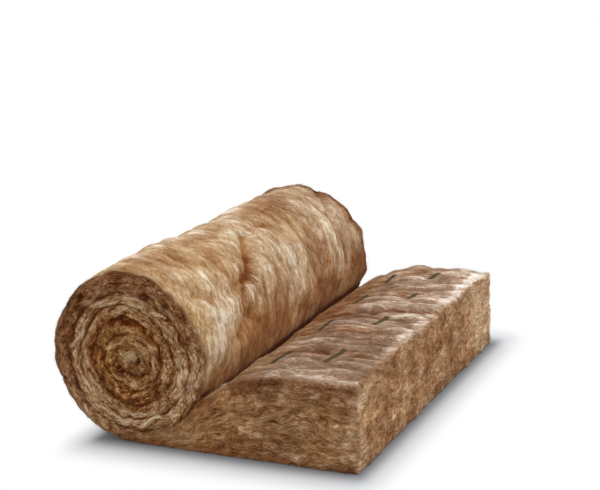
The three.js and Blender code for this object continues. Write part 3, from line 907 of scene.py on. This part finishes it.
class Wool:
    """The blanket's points and faces, and what is known of each point."""

    def __init__(self):
        border, on_roll = section(SKIN_STEP)
        parts = [self.skin(border, on_roll)]
        inside, distance, wound, triangles = slit_side(border)
        for side, column in ((-1, 0), (1, self.columns - 1)):
            outward = triangles[:, ::-side]
            first = sum(len(part["x"]) for part in parts)
            border_ids = np.arange(len(border)) * self.columns + column
            ids = np.concatenate([border_ids, first + np.arange(len(inside))])
            self.faces.append(ids[outward])
            self.bake.append(side_in_picture(np.concatenate([border, inside])[outward], side))
            parts.append(self.slit(inside, distance, wound, side))
        self.finish({key: np.concatenate([part[key] for part in parts]) for key in parts[0]})

    def skin(self, border, on_roll):
        """The skin, wound and free, as a grid of rows across the width."""
        rows, self.columns = len(border), round(WIDTH / SKIN_STEP)
        row_wound = np.arange(rows) < on_roll
        reach = HALF - edge_rounding(border[:, 0], border[:, 1], row_wound)
        across = np.linspace(-1, 1, self.columns)
        corner_rows, corner_columns = skin_corners(rows, self.columns)
        self.faces = [corner_rows % rows * self.columns + corner_columns]
        up = SKIN_PICTURE * corner_columns / (self.columns - 1)
        self.bake = [np.stack([share_round(border)[corner_rows], up], -1)]
        x, z = (np.repeat(border[:, i], self.columns) for i in range(2))
        y = (reach[:, None] * across).ravel()
        wound = np.repeat(row_wound, self.columns)
        edge = eased(0.035, 0.0, np.repeat(reach, self.columns) - np.abs(y))
        slit = eased(FREE_END - 0.009, FREE_END - 0.002, x) * (z > 0.004)
        none = np.zeros(len(x))
        return {"x": x, "y": y, "z": z, "x_put": x, "z_put": z, "wound": wound, "slit": slit,
                "pits": skin_pits(x, y, z, wound), "dull": none, "edge": edge, "side": none}

    def slit(self, inside, distance, wound, side):
        """What is known of the points of one slit side, apart from its border."""
        x, z = inside.T
        x_put, z_put = strayed(x, z, distance, side)
        y = side * (HALF + slit_relief(x, z, distance, wound, side))
        return {"x": x, "y": y, "z": z, "x_put": x_put, "z_put": z_put, "wound": wound,
                "slit": eased(0.0, 0.35, distance / edge_rounding(x, z, wound)),
                "pits": slit_pits(x, z, distance, wound, side), "dull": slit_dullness(x, z, distance, wound),
                "edge": eased(0.02, 0.0, distance), "side": np.full(len(x), side)}

    def finish(self, known):
        x, y, z, wound = (known[key] for key in ("x", "y", "z", "wound"))
        self.points = moved(known["x_put"], y, known["z_put"], wound)
        self.triangles = np.concatenate([fan(faces) for faces in self.faces])
        self.normals = smooth_normals(self.points, self.triangles)
        self.along = towards_eye(x, z, wound)
        self.grain = grain_of(x, z, wound)
        self.plain = np.stack([x, y, z], -1)
        self.wound, self.side, self.edge = wound.astype(float), known["side"], known["edge"]
        self.slit_share, self.pits, self.dull = known["slit"], known["pits"], known["dull"]
        self.crest = np.where(wound, roll_wrinkles(turn_of(x, z)[0], y), top_wrinkles(x, y))


def edge_highlights_and_fluff(x, y, z, wound, slit):
    """Painted highlights where light catches the torn edges and the roll's back top, with paler loose fibres
    there.
    """
    rough = stray_noise(x / 0.07, y / 0.022)
    band = eased(0.635, 0.655, x + 0.012 * rough) * eased(-0.55, -0.25, y) * (0.24 + 0.10 * rough)
    wide = eased(0.565, 0.640, x + 0.030 * rough) * eased(-0.05, 0.25, y) * (0.14 + 0.10 * rough)
    on_top = eased(0.21, 0.24, z) * (1 - slit)
    front = 0.22 * bell(y + 0.578, 0.010) * eased(0.36, 0.46, x) * on_top
    corner = 0.10 * bell(FREE_END - x, 0.025) * eased(HALF - 0.03, HALF - 0.01, np.abs(y))
    turn = turn_of(x, z)[0]
    # Painted highlight along the roll's back top, where light from behind catches the loose fibres.
    backlit_fluff = 0.28 * bell(turn - 0.464, 0.034) * wound * (1 - slit) * eased(0.42, 0.12, y)
    backlit_fluff *= np.clip(0.85 + 0.7 * stray_noise(turn * 16, y / 0.045), 0, 1)
    return np.clip((band + wide) * on_top, 0, 1) + front + corner + backlit_fluff


def mesh_of(name, points, faces, bake):
    """A mesh of these points, in the frame, of arrays of faces with their places in a baked picture."""
    mesh = bpy.data.meshes.new(name)
    corners = np.concatenate([f.ravel() for f in faces])
    sizes = np.concatenate([np.full(len(f), f.shape[1]) for f in faces])
    starts = np.concatenate([[0], np.cumsum(sizes)[:-1]])
    mesh.vertices.add(len(points))
    mesh.vertices.foreach_set("co", (points + (EYE_X, 0, 0)).astype(np.float32).ravel())
    mesh.loops.add(len(corners))
    mesh.loops.foreach_set("vertex_index", corners.astype(np.int32))
    mesh.polygons.add(len(sizes))
    mesh.polygons.foreach_set("loop_start", starts.astype(np.int32))
    mesh.update(calc_edges=True)
    mesh.polygons.foreach_set("use_smooth", np.ones(len(sizes), bool))
    places = np.concatenate([b.reshape(-1, 2) for b in bake])
    mesh.uv_layers.new(name="OFBake").data.foreach_set("uv", places.astype(np.float32).ravel())
    return mesh


def keep(mesh, name, values):
    kind = "FLOAT_VECTOR" if values.ndim == 2 else "FLOAT"
    made = mesh.attributes.new(name, kind, "POINT")
    made.data.foreach_set("vector" if values.ndim == 2 else "value", values.astype(np.float32).ravel())


def put_in_frame(mesh, material):
    mesh.materials.append(material)
    piece = bpy.data.objects.new(mesh.name, mesh)
    bpy.context.scene.collection.objects.link(piece)
    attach(piece, "root")
    return piece


def blanket(wool, material):
    mesh = mesh_of("rolled_blanket", wool.points, wool.faces, wool.bake)
    x, y, z = wool.plain.T
    slit, wound = wool.slit_share, wool.wound
    tone = tone_of(wool.grain, wool.plain, wound, slit, wool.crest)
    keep(mesh, "across", y + LEAN * AROUND * turn_of(x, z)[0] * wound * (1 - slit))
    keep(mesh, "torn", slit * (0.65 + 0.5 * wound))
    keep(mesh, "pale", paleness(x, y, z, wound > 0.5) * (0.5 + 0.5 * wound))
    keep(mesh, "grain", wool.grain)
    keep(mesh, "tone", tone + edge_highlights_and_fluff(x, y, z, wound, slit))
    keep(mesh, "slit", slit)
    keep(mesh, "pits", wool.pits)
    keep(mesh, "dull", wool.dull)
    keep(mesh, "gold", goldenness(x, y, z, wound > 0.5, slit))
    piece = put_in_frame(mesh, material)
    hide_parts("wool_blanket")


# --- Loose fibres ---

STRANDS = 16300  # in each piece
# Least and most length, width and height off the surface
LONG_STRANDS = ((0.018, 0.050), (0.0007, 0.0018), (0.0004, 0.0018))
SHORT_STRANDS = ((0.012, 0.034), (0.0006, 0.0014), (0.0006, 0.0026))
# A strand is a root point, two rings of three points and a tip point.
STRAND_POINTS = 8
RING_TURNS = np.arange(3) * 2 * np.pi / 3
STRAND_FLATNESS = 0.25
CELL_MARGIN = 0.12  # bare edge of a strand's cell in the baked picture


def strand_faces():
    """One strand's triangles, and the place of each corner in its cell of the baked picture."""
    faces, places = [], []
    for k in range(3):
        after, left, right = (k + 1) % 3, k / 3, (k + 1) / 3
        low, low_after, high, high_after = 1 + k, 1 + after, 4 + k, 4 + after
        middle = (left + right) / 2
        faces += [(0, low_after, low), (low, low_after, high_after),
                  (low, high_after, high), (high, high_after, 7)]
        places += [((middle, 0), (right, 1 / 3), (left, 1 / 3)),
                   ((left, 1 / 3), (right, 1 / 3), (right, 2 / 3)),
                   ((left, 1 / 3), (right, 2 / 3), (left, 2 / 3)),
                   ((left, 2 / 3), (right, 2 / 3), (middle, 1))]
    return np.array(faces), np.array(places)


def strands_drawn():
    """The faces of all a piece's strands, and their places in the baked picture, a cell to each."""
    faces, places = strand_faces()
    columns = math.ceil(math.sqrt(STRANDS))
    each = np.arange(STRANDS)
    cell = np.stack([each % columns, each // columns], -1)[:, None, None]
    bake = (cell + CELL_MARGIN + (1 - 2 * CELL_MARGIN) * places) / columns
    return (STRAND_POINTS * each[:, None, None] + faces).reshape(-1, 3), bake


class Spots:
    """Places strewn over some of the blanket's triangles, and what the blanket knows of each."""

    def __init__(self, wool, chosen, count, dice):
        triangles = wool.triangles[chosen]
        corners = wool.points[triangles]
        area = np.linalg.norm(np.cross(corners[:, 1] - corners[:, 0], corners[:, 2] - corners[:, 0]), axis=1)
        weight = area * (1 - 0.5 * wool.pits[triangles].mean(1)) * (1 + 1.2 * wool.edge[triangles].mean(1))
        drawn = dice.choice(len(triangles), count, p=weight / weight.sum())
        self.corners = triangles[drawn]
        self.shares = dice.dirichlet((1, 1, 1), count)

    def of(self, values):
        """A value of each of the blanket's points, taken at the strewn places."""
        picked = values[self.corners]
        shares = self.shares if picked.ndim == 2 else self.shares[..., None]
        return (picked * shares).sum(1)


def headings(spots, wool, dice, spread):
    """Outward and lengthwise directions of strands, turned a little at random from the wool's length."""
    normal = spots.of(wool.normals)
    normal /= np.linalg.norm(normal, axis=1, keepdims=True)
    along = spots.of(wool.along)
    along -= (along * normal).sum(1, keepdims=True) * normal
    end_on = np.linalg.norm(along, axis=1) < 0.45
    along[end_on] = np.cross(normal[end_on], (0, 0, 1))
    along /= np.linalg.norm(along, axis=1, keepdims=True)
    turn = dice.normal(0, spread, len(along)) * dice.choice((1, 1, 1, 3), len(along))
    turn += end_on * dice.uniform(-1.2, 1.2, len(along))
    across = np.cross(normal, along)
    along = np.cos(turn)[:, None] * along + np.sin(turn)[:, None] * across
    return normal, along * dice.choice((-1, 1), len(along))[:, None]


def strand_points(at, normal, along, size, loose, dice):
    """Corners of the strands; a lying strand's ends sink in, a loose one's tip stands off."""
    count = len(at)
    length, width, rise = (low + (high - low) * dice.random(count) for low, high in size)
    across = np.cross(normal, along)
    t = np.array([0, 1 / 3, 2 / 3, 1])
    lying = rise[:, None] * 0.5 * np.sin(np.pi * t) - 0.0012
    free = (0.003 + 1.6 * rise[:, None]) * t**1.6 - 0.0022 * (1 - t)
    lift = np.where(loose[:, None], free, lying)
    bend = (length * dice.normal(0, 0.14, count))[:, None] * np.sin(np.pi * t * 0.9)
    line = at[:, None] + ((t - 0.5) * length[:, None])[..., None] * along[:, None]
    line = line + lift[..., None] * normal[:, None] + bend[..., None] * across[:, None]
    half = np.where(loose, 0.5, 1.0)[:, None, None] * width[:, None, None] / 2
    wide = np.cos(RING_TURNS)[:, None] * across[:, None]
    high = STRAND_FLATNESS * np.sin(RING_TURNS)[:, None] * normal[:, None]
    ring = half * (wide + high)
    points = np.concatenate([line[:, :1], line[:, 1:2] + ring, line[:, 2:3] + 0.8 * ring, line[:, 3:]], 1)
    points[..., 2] = np.maximum(points[..., 2], 0.0004)
    return points


def fibres(name, wool, chosen, material, size, spread, loose_share, seed):
    """One piece of loose strands over the chosen triangles of the blanket."""
    dice = np.random.default_rng(seed)
    spots = Spots(wool, chosen, STRANDS, dice)
    slit, wound, plain = spots.of(wool.slit_share), spots.of(wool.wound), spots.of(wool.plain)
    loose = dice.random(STRANDS) < loose_share + 0.35 * spots.of(wool.edge)
    normal, along = headings(spots, wool, dice, spread * (1 + loose))
    points = strand_points(spots.of(wool.points), normal, along, size, loose, dice)
    tone = tone_of(spots.of(wool.grain), plain, wound, slit, spots.of(wool.crest))
    tone += edge_highlights_and_fluff(*plain.T, wound, slit)
    wisps = dice.random(STRANDS) < 0.2
    wisp = np.where(wisps, dice.uniform(0.08, 0.32, STRANDS), dice.normal(0, 0.04, STRANDS))
    tone += wisp * (1 - 0.5 * slit) + slit * dice.normal(0, 0.06, STRANDS) + 0.06 * loose
    faces, bake = strands_drawn()
    mesh = mesh_of(name, points.reshape(-1, 3), [faces], [bake])
    known = {"tone": np.clip(tone, 0, 1.1), "slit": slit, "pits": 0.7 * spots.of(wool.pits),
             "dull": spots.of(wool.dull), "gold": goldenness(*plain.T, wound > 0.5, slit)}
    for key, values in known.items():
        keep(mesh, key, np.repeat(values, STRAND_POINTS))
    put_in_frame(mesh, material)


def all_fibres(wool, material):
    corners = wool.triangles
    side = wool.side[corners].sum(1)
    height = wool.points[corners][:, :, 2].mean(1)
    facing = wool.normals[corners][:, :, 2].mean(1)
    shown = (height > 0.006) | (facing > -0.5)
    skin = shown & (side == 0)
    wound = wool.wound[corners].mean(1) > 0.5
    fibres("roll_fibres", wool, skin & wound, material, LONG_STRANDS, 0.40, 0.10, 101)
    fibres("free_end_fibres", wool, skin & ~wound, material, LONG_STRANDS, 0.42, 0.10, 102)
    fibres("front_slit_fibres", wool, shown & (side < 0), material, SHORT_STRANDS, 0.42, 0.15, 103)
    fibres("back_slit_fibres", wool, shown & (side > 0), material, SHORT_STRANDS, 0.42, 0.15, 104)


# --- Materials ---


def paint(red, green, blue):
    """A colour written as it looks on a screen, each part 0 to 255."""
    parts = (c / 255 for c in (red, green, blue))
    return tuple(c / 12.92 if c <= 0.04045 else ((c + 0.055) / 1.055) ** 2.4 for c in parts) + (1,)


# Colours by tone: how far along, and the colour there
SKIN_COLOURS = ((0.0, paint(106, 64, 36)), (0.3, paint(144, 102, 67)), (0.55, paint(172, 136, 100)),
                (0.8, paint(206, 179, 146)), (1.0, paint(240, 230, 214)))
TOP_COLOURS = ((0.0, paint(88, 59, 40)), (0.3, paint(119, 89, 67)), (0.55, paint(147, 118, 96)),
               (0.8, paint(199, 176, 154)), (1.0, paint(242, 235, 227)))
SLIT_COLOURS = ((0.0, paint(82, 36, 12)), (0.3, paint(134, 84, 46)), (0.55, paint(176, 127, 82)),
                (0.8, paint(212, 170, 124)), (1.0, paint(244, 218, 182)))
GOLD_TINT = paint(244, 230, 184)
# A tint for painted shade at the nip, in creases, hollows and crevices, and for redder places.
SHADE_AND_RED_TINT = paint(208, 172, 135)
DULL_TINT = paint(208, 188, 178)
# The darkest colour: painted shade at the nip and deep in crevices and splits, and the darkest red places.
DEEP_SHADE_AND_RED = paint(100, 42, 8)
INK_COLOUR = paint(66, 54, 34)
# The floor's colours: under the wool's edge, darker there as a painted shadow, 8 cm off it, and what lies
# past it
PAINTED_SHADOW_FLOOR, FAR_FLOOR, WHITE = (0.24, 0.25, 0.27, 1), (0.50, 0.52, 0.55, 1), (1, 1, 1, 1)
# The shadow's middle and half length along X, before it fades, and how much faster it fades beyond
SHADOW_MIDDLE, SHADOW_HALF, SHADOW_FADE_BESIDE = 0.080, 0.400, 1.6


class Shader:
    """A material's nodes, with short ways to add one and link or set its inputs."""

    def __init__(self, name):
        self.material = bpy.data.materials.new(name)
        self.material.use_nodes = True
        self.tree = self.material.node_tree
        self.tree.nodes.clear()

    def add(self, kind, inputs=(), **settings):
        node = self.tree.nodes.new("ShaderNode" + kind)
        for key, value in settings.items():
            setattr(node, key, value)
        for key, value in dict(inputs).items():
            if isinstance(value, bpy.types.NodeSocket):
                self.tree.links.new(value, node.inputs[key])
            else:
                node.inputs[key].default_value = value
        return node

    def math(self, operation, first, second=0.0, third=0.0):
        return self.add("Math", {0: first, 1: second, 2: third}, operation=operation).outputs[0]

    def mix(self, share, first, second, way="MIX"):
        node = self.add("Mix", {0: share, 6: first, 7: second}, data_type="RGBA", blend_type=way)
        return node.outputs[2]

    def span(self, value, low, high, first=0.0, last=1.0, way="LINEAR"):
        """First where a value is low and last where it is high, and in between as it goes."""
        inputs = {0: value, 1: low, 2: high, 3: first, 4: last}
        return self.add("MapRange", inputs, interpolation_type=way).outputs[0]

    def attribute(self, name, output="Fac"):
        return self.add("Attribute", attribute_name=name).outputs[output]

    def place(self):
        return self.add("TexCoord").outputs["Object"]

    def axes(self):
        return self.add("SeparateXYZ", {0: self.place()}).outputs

    def noise(self, scale, detail):
        return self.add("TexNoise", {"Vector": self.place(), "Scale": scale, "Detail": detail}).outputs[0]

    def ramp(self, value, stops):
        node = self.add("ValToRGB", {0: value})
        spots = node.color_ramp.elements
        while len(spots) < len(stops):
            spots.new(0.5)
        for spot, (place, colour) in zip(spots, stops):
            spot.position = place
            spot.color = colour
        return node.outputs[0]


def cut_marks(s):
    """1 in the marks inked across the top of the free end, 0 elsewhere."""
    axes = s.axes()
    wobble = s.noise(40.0, 2.0)
    x = s.math("MULTIPLY_ADD", wobble, 0.003, s.math("SUBTRACT", axes["X"], 0.0015))
    inked = 0.0
    for along, spans in MARKS:
        over = s.math("COMPARE", x, along + EYE_X, MARK_WIDTH / 2)
        beside = 0.0
        for start, end in spans:
            middle = (start + end) / 2 - HALF
            beside = s.math("ADD", s.math("COMPARE", axes["Y"], middle, (end - start) / 2), beside)
        inked = s.math("MULTIPLY_ADD", over, beside, inked)
    on_top = s.math("GREATER_THAN", axes["Z"], MARKED_ABOVE)
    faint = s.math("MULTIPLY_ADD", wobble, 0.2, 0.84)
    return s.math("MULTIPLY", s.math("MULTIPLY", inked, on_top), faint)


def wool_colour(s, tone):
    """The wool's colour from its tone: on the skin, where it is slit, in painted shade and redder places, and
    under ink.
    """
    axes = s.axes()
    on_free = s.span(axes["X"], 0.09, 0.20)
    greyer = s.span(axes["Y"], -0.1, 0.6, 0.0, 0.45)
    browner = s.math("MAXIMUM", on_free, greyer)
    skin = s.mix(browner, s.ramp(tone, SKIN_COLOURS), s.ramp(tone, TOP_COLOURS))
    slit = s.math("MULTIPLY", s.attribute("slit"), s.math("MULTIPLY_ADD", on_free, -0.22, 1.0))
    wool = s.mix(slit, skin, s.ramp(tone, SLIT_COLOURS))
    ochre = s.span(s.noise(9.0, 2.0), 0.38, 0.62, 0.40)
    golden = s.math("MULTIPLY", ochre, s.math("MULTIPLY_ADD", s.attribute("gold"), 0.95, 0.05))
    wool = s.mix(golden, wool, GOLD_TINT, "MULTIPLY")
    wool = s.mix(s.attribute("dull"), wool, DULL_TINT, "MULTIPLY")
    # Painted shade and redder places: the tint, then the darkest colour.
    pits = s.attribute("pits")
    wool = s.mix(s.span(pits, 0.0, 0.6), wool, SHADE_AND_RED_TINT, "MULTIPLY")
    wool = s.mix(s.span(pits, 0.55, 1.0), wool, DEEP_SHADE_AND_RED)
    return s.mix(cut_marks(s), wool, INK_COLOUR)


def streaks(s, long, deep, wide, twist):
    """Fine streaks along the wool's layers; the scales are along them, through them and across."""
    grain = s.attribute("grain", "Vector")
    flow = s.add("Mapping", {"Vector": grain, "Scale": (long, long, deep)}).outputs[0]
    w = s.math("MULTIPLY", s.attribute("across"), wide)
    wanted = {"Vector": flow, "W": w, "Scale": 1.0, "Detail": 3.0, "Roughness": 0.6, "Distortion": twist}
    return s.add("TexNoise", wanted, noise_dimensions="4D").outputs[0]


def ridges(s, half, height, *flow):
    """Thin lines of this height along streaks, where their noise crosses its middle, 0 elsewhere."""
    away = s.math("ABSOLUTE", s.math("SUBTRACT", streaks(s, *flow), 0.5))
    return s.span(away, 0.0, half, height, 0.0)


def wool_surface(s, colour, **more):
    wanted = {"Base Color": colour, "Roughness": 0.95, "Specular IOR Level": 0.06, "Sheen Weight": 0.04,
              "Sheen Roughness": 0.5, "Sheen Tint": (1, 0.9, 0.75, 1),
              "Subsurface Weight": 0.15, "Subsurface Radius": (1.0, 0.45, 0.2), "Subsurface Scale": 0.006}
    shader = s.add("BsdfPrincipled", {**wanted, **more})
    s.add("OutputMaterial", {"Surface": shader.outputs[0]})
    return s.material


def skin_relief(s):
    """Crinkles, wisps and small cracks on the skin, about 0 on average."""
    pale = s.attribute("pale")
    crinkle = s.math("SUBTRACT", streaks(s, 90, 90, 130, 0.5), 0.5)
    locks = s.math("SUBTRACT", streaks(s, 10, 60, 60, 0.4), 0.5)
    locks = s.math("MULTIPLY", locks, s.math("MULTIPLY_ADD", pale, 1.4, 0.60))
    wisps = ridges(s, 0.030, 0.26, 6, 40, 64, 0.2)
    wisps = s.math("MULTIPLY", wisps, s.math("MULTIPLY_ADD", pale, 3.2, 0.5))
    cracks = ridges(s, 0.020, -0.24, 10, 40, 50, 0.5)
    lines = s.math("ADD", wisps, cracks)
    return s.math("ADD", s.math("MULTIPLY_ADD", crinkle, 0.9, lines), locks)


def slit_relief_of(s):
    """Streaks and splits along the layers where the wool is slit."""
    both = s.math("ADD", streaks(s, 34, 130, 34, 0.4), streaks(s, 80, 240, 70, 0.4))
    wide_splits = ridges(s, 0.030, -0.50, 17, 66, 20, 0.5)
    thin_splits = ridges(s, 0.025, -0.26, 24, 110, 28, 0.4)
    strands = ridges(s, 0.030, 0.26, 18, 110, 24, 0.3)
    lines = s.math("ADD", s.math("ADD", wide_splits, thin_splits), strands)
    return s.math("ADD", s.math("MULTIPLY", s.math("SUBTRACT", both, 1.0), 1.6), lines)


def wool_material():
    s = Shader("brown_wool")
    on_the_skin = s.math("MULTIPLY", skin_relief(s), s.math("SUBTRACT", 1.0, s.attribute("slit")))
    height = s.math("MULTIPLY_ADD", slit_relief_of(s), s.attribute("torn"), on_the_skin)
    # The tone follows the bump's height: raised wisps and streaks paler, cracks and splits darker, partly
    # their own colour and partly their painted shade.
    tone = s.math("ADD", s.math("MULTIPLY_ADD", height, 0.8, 0.06), s.attribute("tone"))
    bump = s.add("Bump", {"Height": height, "Distance": 0.004, "Strength": 0.8}).outputs[0]
    return wool_surface(s, wool_colour(s, tone), Normal=bump)


def fibre_material():
    s = Shader("loose_wool")
    uneven = s.math("MULTIPLY_ADD", s.noise(160.0, 1.0), 0.3, -0.15)
    return wool_surface(s, wool_colour(s, s.math("ADD", s.attribute("tone"), uneven)))


def floor_material():
    """Pale floor that keeps the wool's shadow near it, darkened close to the wool as a painted shadow, and
    turns white further off.
    """
    s = Shader("pale_floor")
    axes = s.axes()
    off_middle = s.math("ABSOLUTE", s.math("SUBTRACT", axes["X"], SHADOW_MIDDLE))
    beside = s.math("MAXIMUM", s.math("SUBTRACT", off_middle, SHADOW_HALF), 0.0)
    beside = s.math("MULTIPLY", beside, SHADOW_FADE_BESIDE)
    before = s.math("MAXIMUM", s.math("SUBTRACT", s.math("ABSOLUTE", axes["Y"]), HIGH.y), 0.0)
    away = s.add("CombineXYZ", {0: beside, 1: before}).outputs[0]
    away = s.add("VectorMath", {0: away}, operation="LENGTH").outputs["Value"]
    # A painted shadow: the floor's colour darkens towards the wool's edge.
    beyond_painted_shadow = s.span(away, 0.0, 0.08, way="SMOOTHSTEP")
    matt = s.add("BsdfDiffuse", {"Color": s.mix(beyond_painted_shadow, PAINTED_SHADOW_FLOOR, FAR_FLOOR)})
    white = s.add("Emission", {"Color": WHITE, "Strength": 1.0})
    seen = s.add("LightPath")
    direct = s.math("MAXIMUM", seen.outputs["Is Camera Ray"], seen.outputs["Is Glossy Ray"])
    share = s.math("MULTIPLY", direct, s.span(away, -0.02, 0.20, way="SMOOTHSTEP"))
    mix = s.add("MixShader", {0: share, 1: matt.outputs[0], 2: white.outputs[0]})
    s.add("OutputMaterial", {"Surface": mix.outputs[0]})
    return s.material


# --- Stage, lamps and camera ---


FLOOR_SIZE = 60


def stage():
    bpy.ops.object.select_all(action="DESELECT")
    bpy.ops.mesh.primitive_plane_add(size=FLOOR_SIZE)
    floor = bpy.context.object
    floor.name = "floor"
    floor.data.materials.append(floor_material())


def lamp(name, place, target, size, power):
    data = bpy.data.lights.new(name, "AREA")
    data.shape = "DISK"
    data.size, data.energy = size, power
    made = bpy.data.objects.new(name, data)
    bpy.context.scene.collection.objects.link(made)
    made.location = place
    made.rotation_euler = (Vector(target) - Vector(place)).to_track_quat("-Z", "Y").to_euler()


def room(strength):
    """Even light from all round, and white where the camera looks past the floor."""
    world = bpy.data.worlds.new("soft_room")
    bpy.context.scene.world = world
    world.use_nodes = True
    tree = world.node_tree
    lit, white = tree.nodes["Background"], tree.nodes.new("ShaderNodeBackground")
    for light, power in ((lit, strength), (white, 1.0)):
        light.inputs[0].default_value = WHITE
        light.inputs[1].default_value = power
    path = tree.nodes.new("ShaderNodeLightPath")
    mix = tree.nodes.new("ShaderNodeMixShader")
    tree.links.new(path.outputs["Is Camera Ray"], mix.inputs[0])
    tree.links.new(lit.outputs[0], mix.inputs[1])
    tree.links.new(white.outputs[0], mix.inputs[2])
    tree.links.new(mix.outputs[0], tree.nodes["World Output"].inputs[0])


def lights():
    lamp("back_lamp", (-2.6, 1.8, 2.2), (-0.1, 0, 0.3), 1.2, 60)
    lamp("top_lamp", (0.9, 0.6, 3.2), (0, 0, 0.2), 1.4, 20)
    lamp("side_lamp", (2.4, -0.3, 2.3), (0.1, 0, 0.2), 1.6, 33)
    lamp("front_lamp", (-0.6, -3.6, 2.0), (0, -0.3, 0.2), 2.2, 25)
    room(0.62)


# The camera's turn about the vertical, its pitch down and its tilt, and its place
TURN_LEFT, PITCH_DOWN, TILT = 0.428051, 0.246745, -0.0321853
CAMERA_PLACE = (2.0634, -3.9436, 1.5480)  # x from below the eye
LENS = 87.54  # on a sensor 36 mm wide


def camera():
    data = bpy.data.cameras.new("camera")
    data.lens = LENS
    made = bpy.data.objects.new("camera", data)
    bpy.context.scene.collection.objects.link(made)
    move = Matrix.Translation(Vector(CAMERA_PLACE) + Vector((EYE_X, 0, 0)))
    turn = Matrix.Rotation(TURN_LEFT, 4, "Z")
    nod = Matrix.Rotation(math.pi / 2 - PITCH_DOWN, 4, "X")
    roll = Matrix.Rotation(TILT, 4, "Z")
    made.matrix_world = move @ turn @ nod @ roll
    bpy.context.scene.camera = made


camera()
wool = Wool()
blanket(wool, wool_material())
all_fibres(wool, fibre_material())
stage()
lights()
bpy.context.scene.view_settings.view_transform = "Standard"
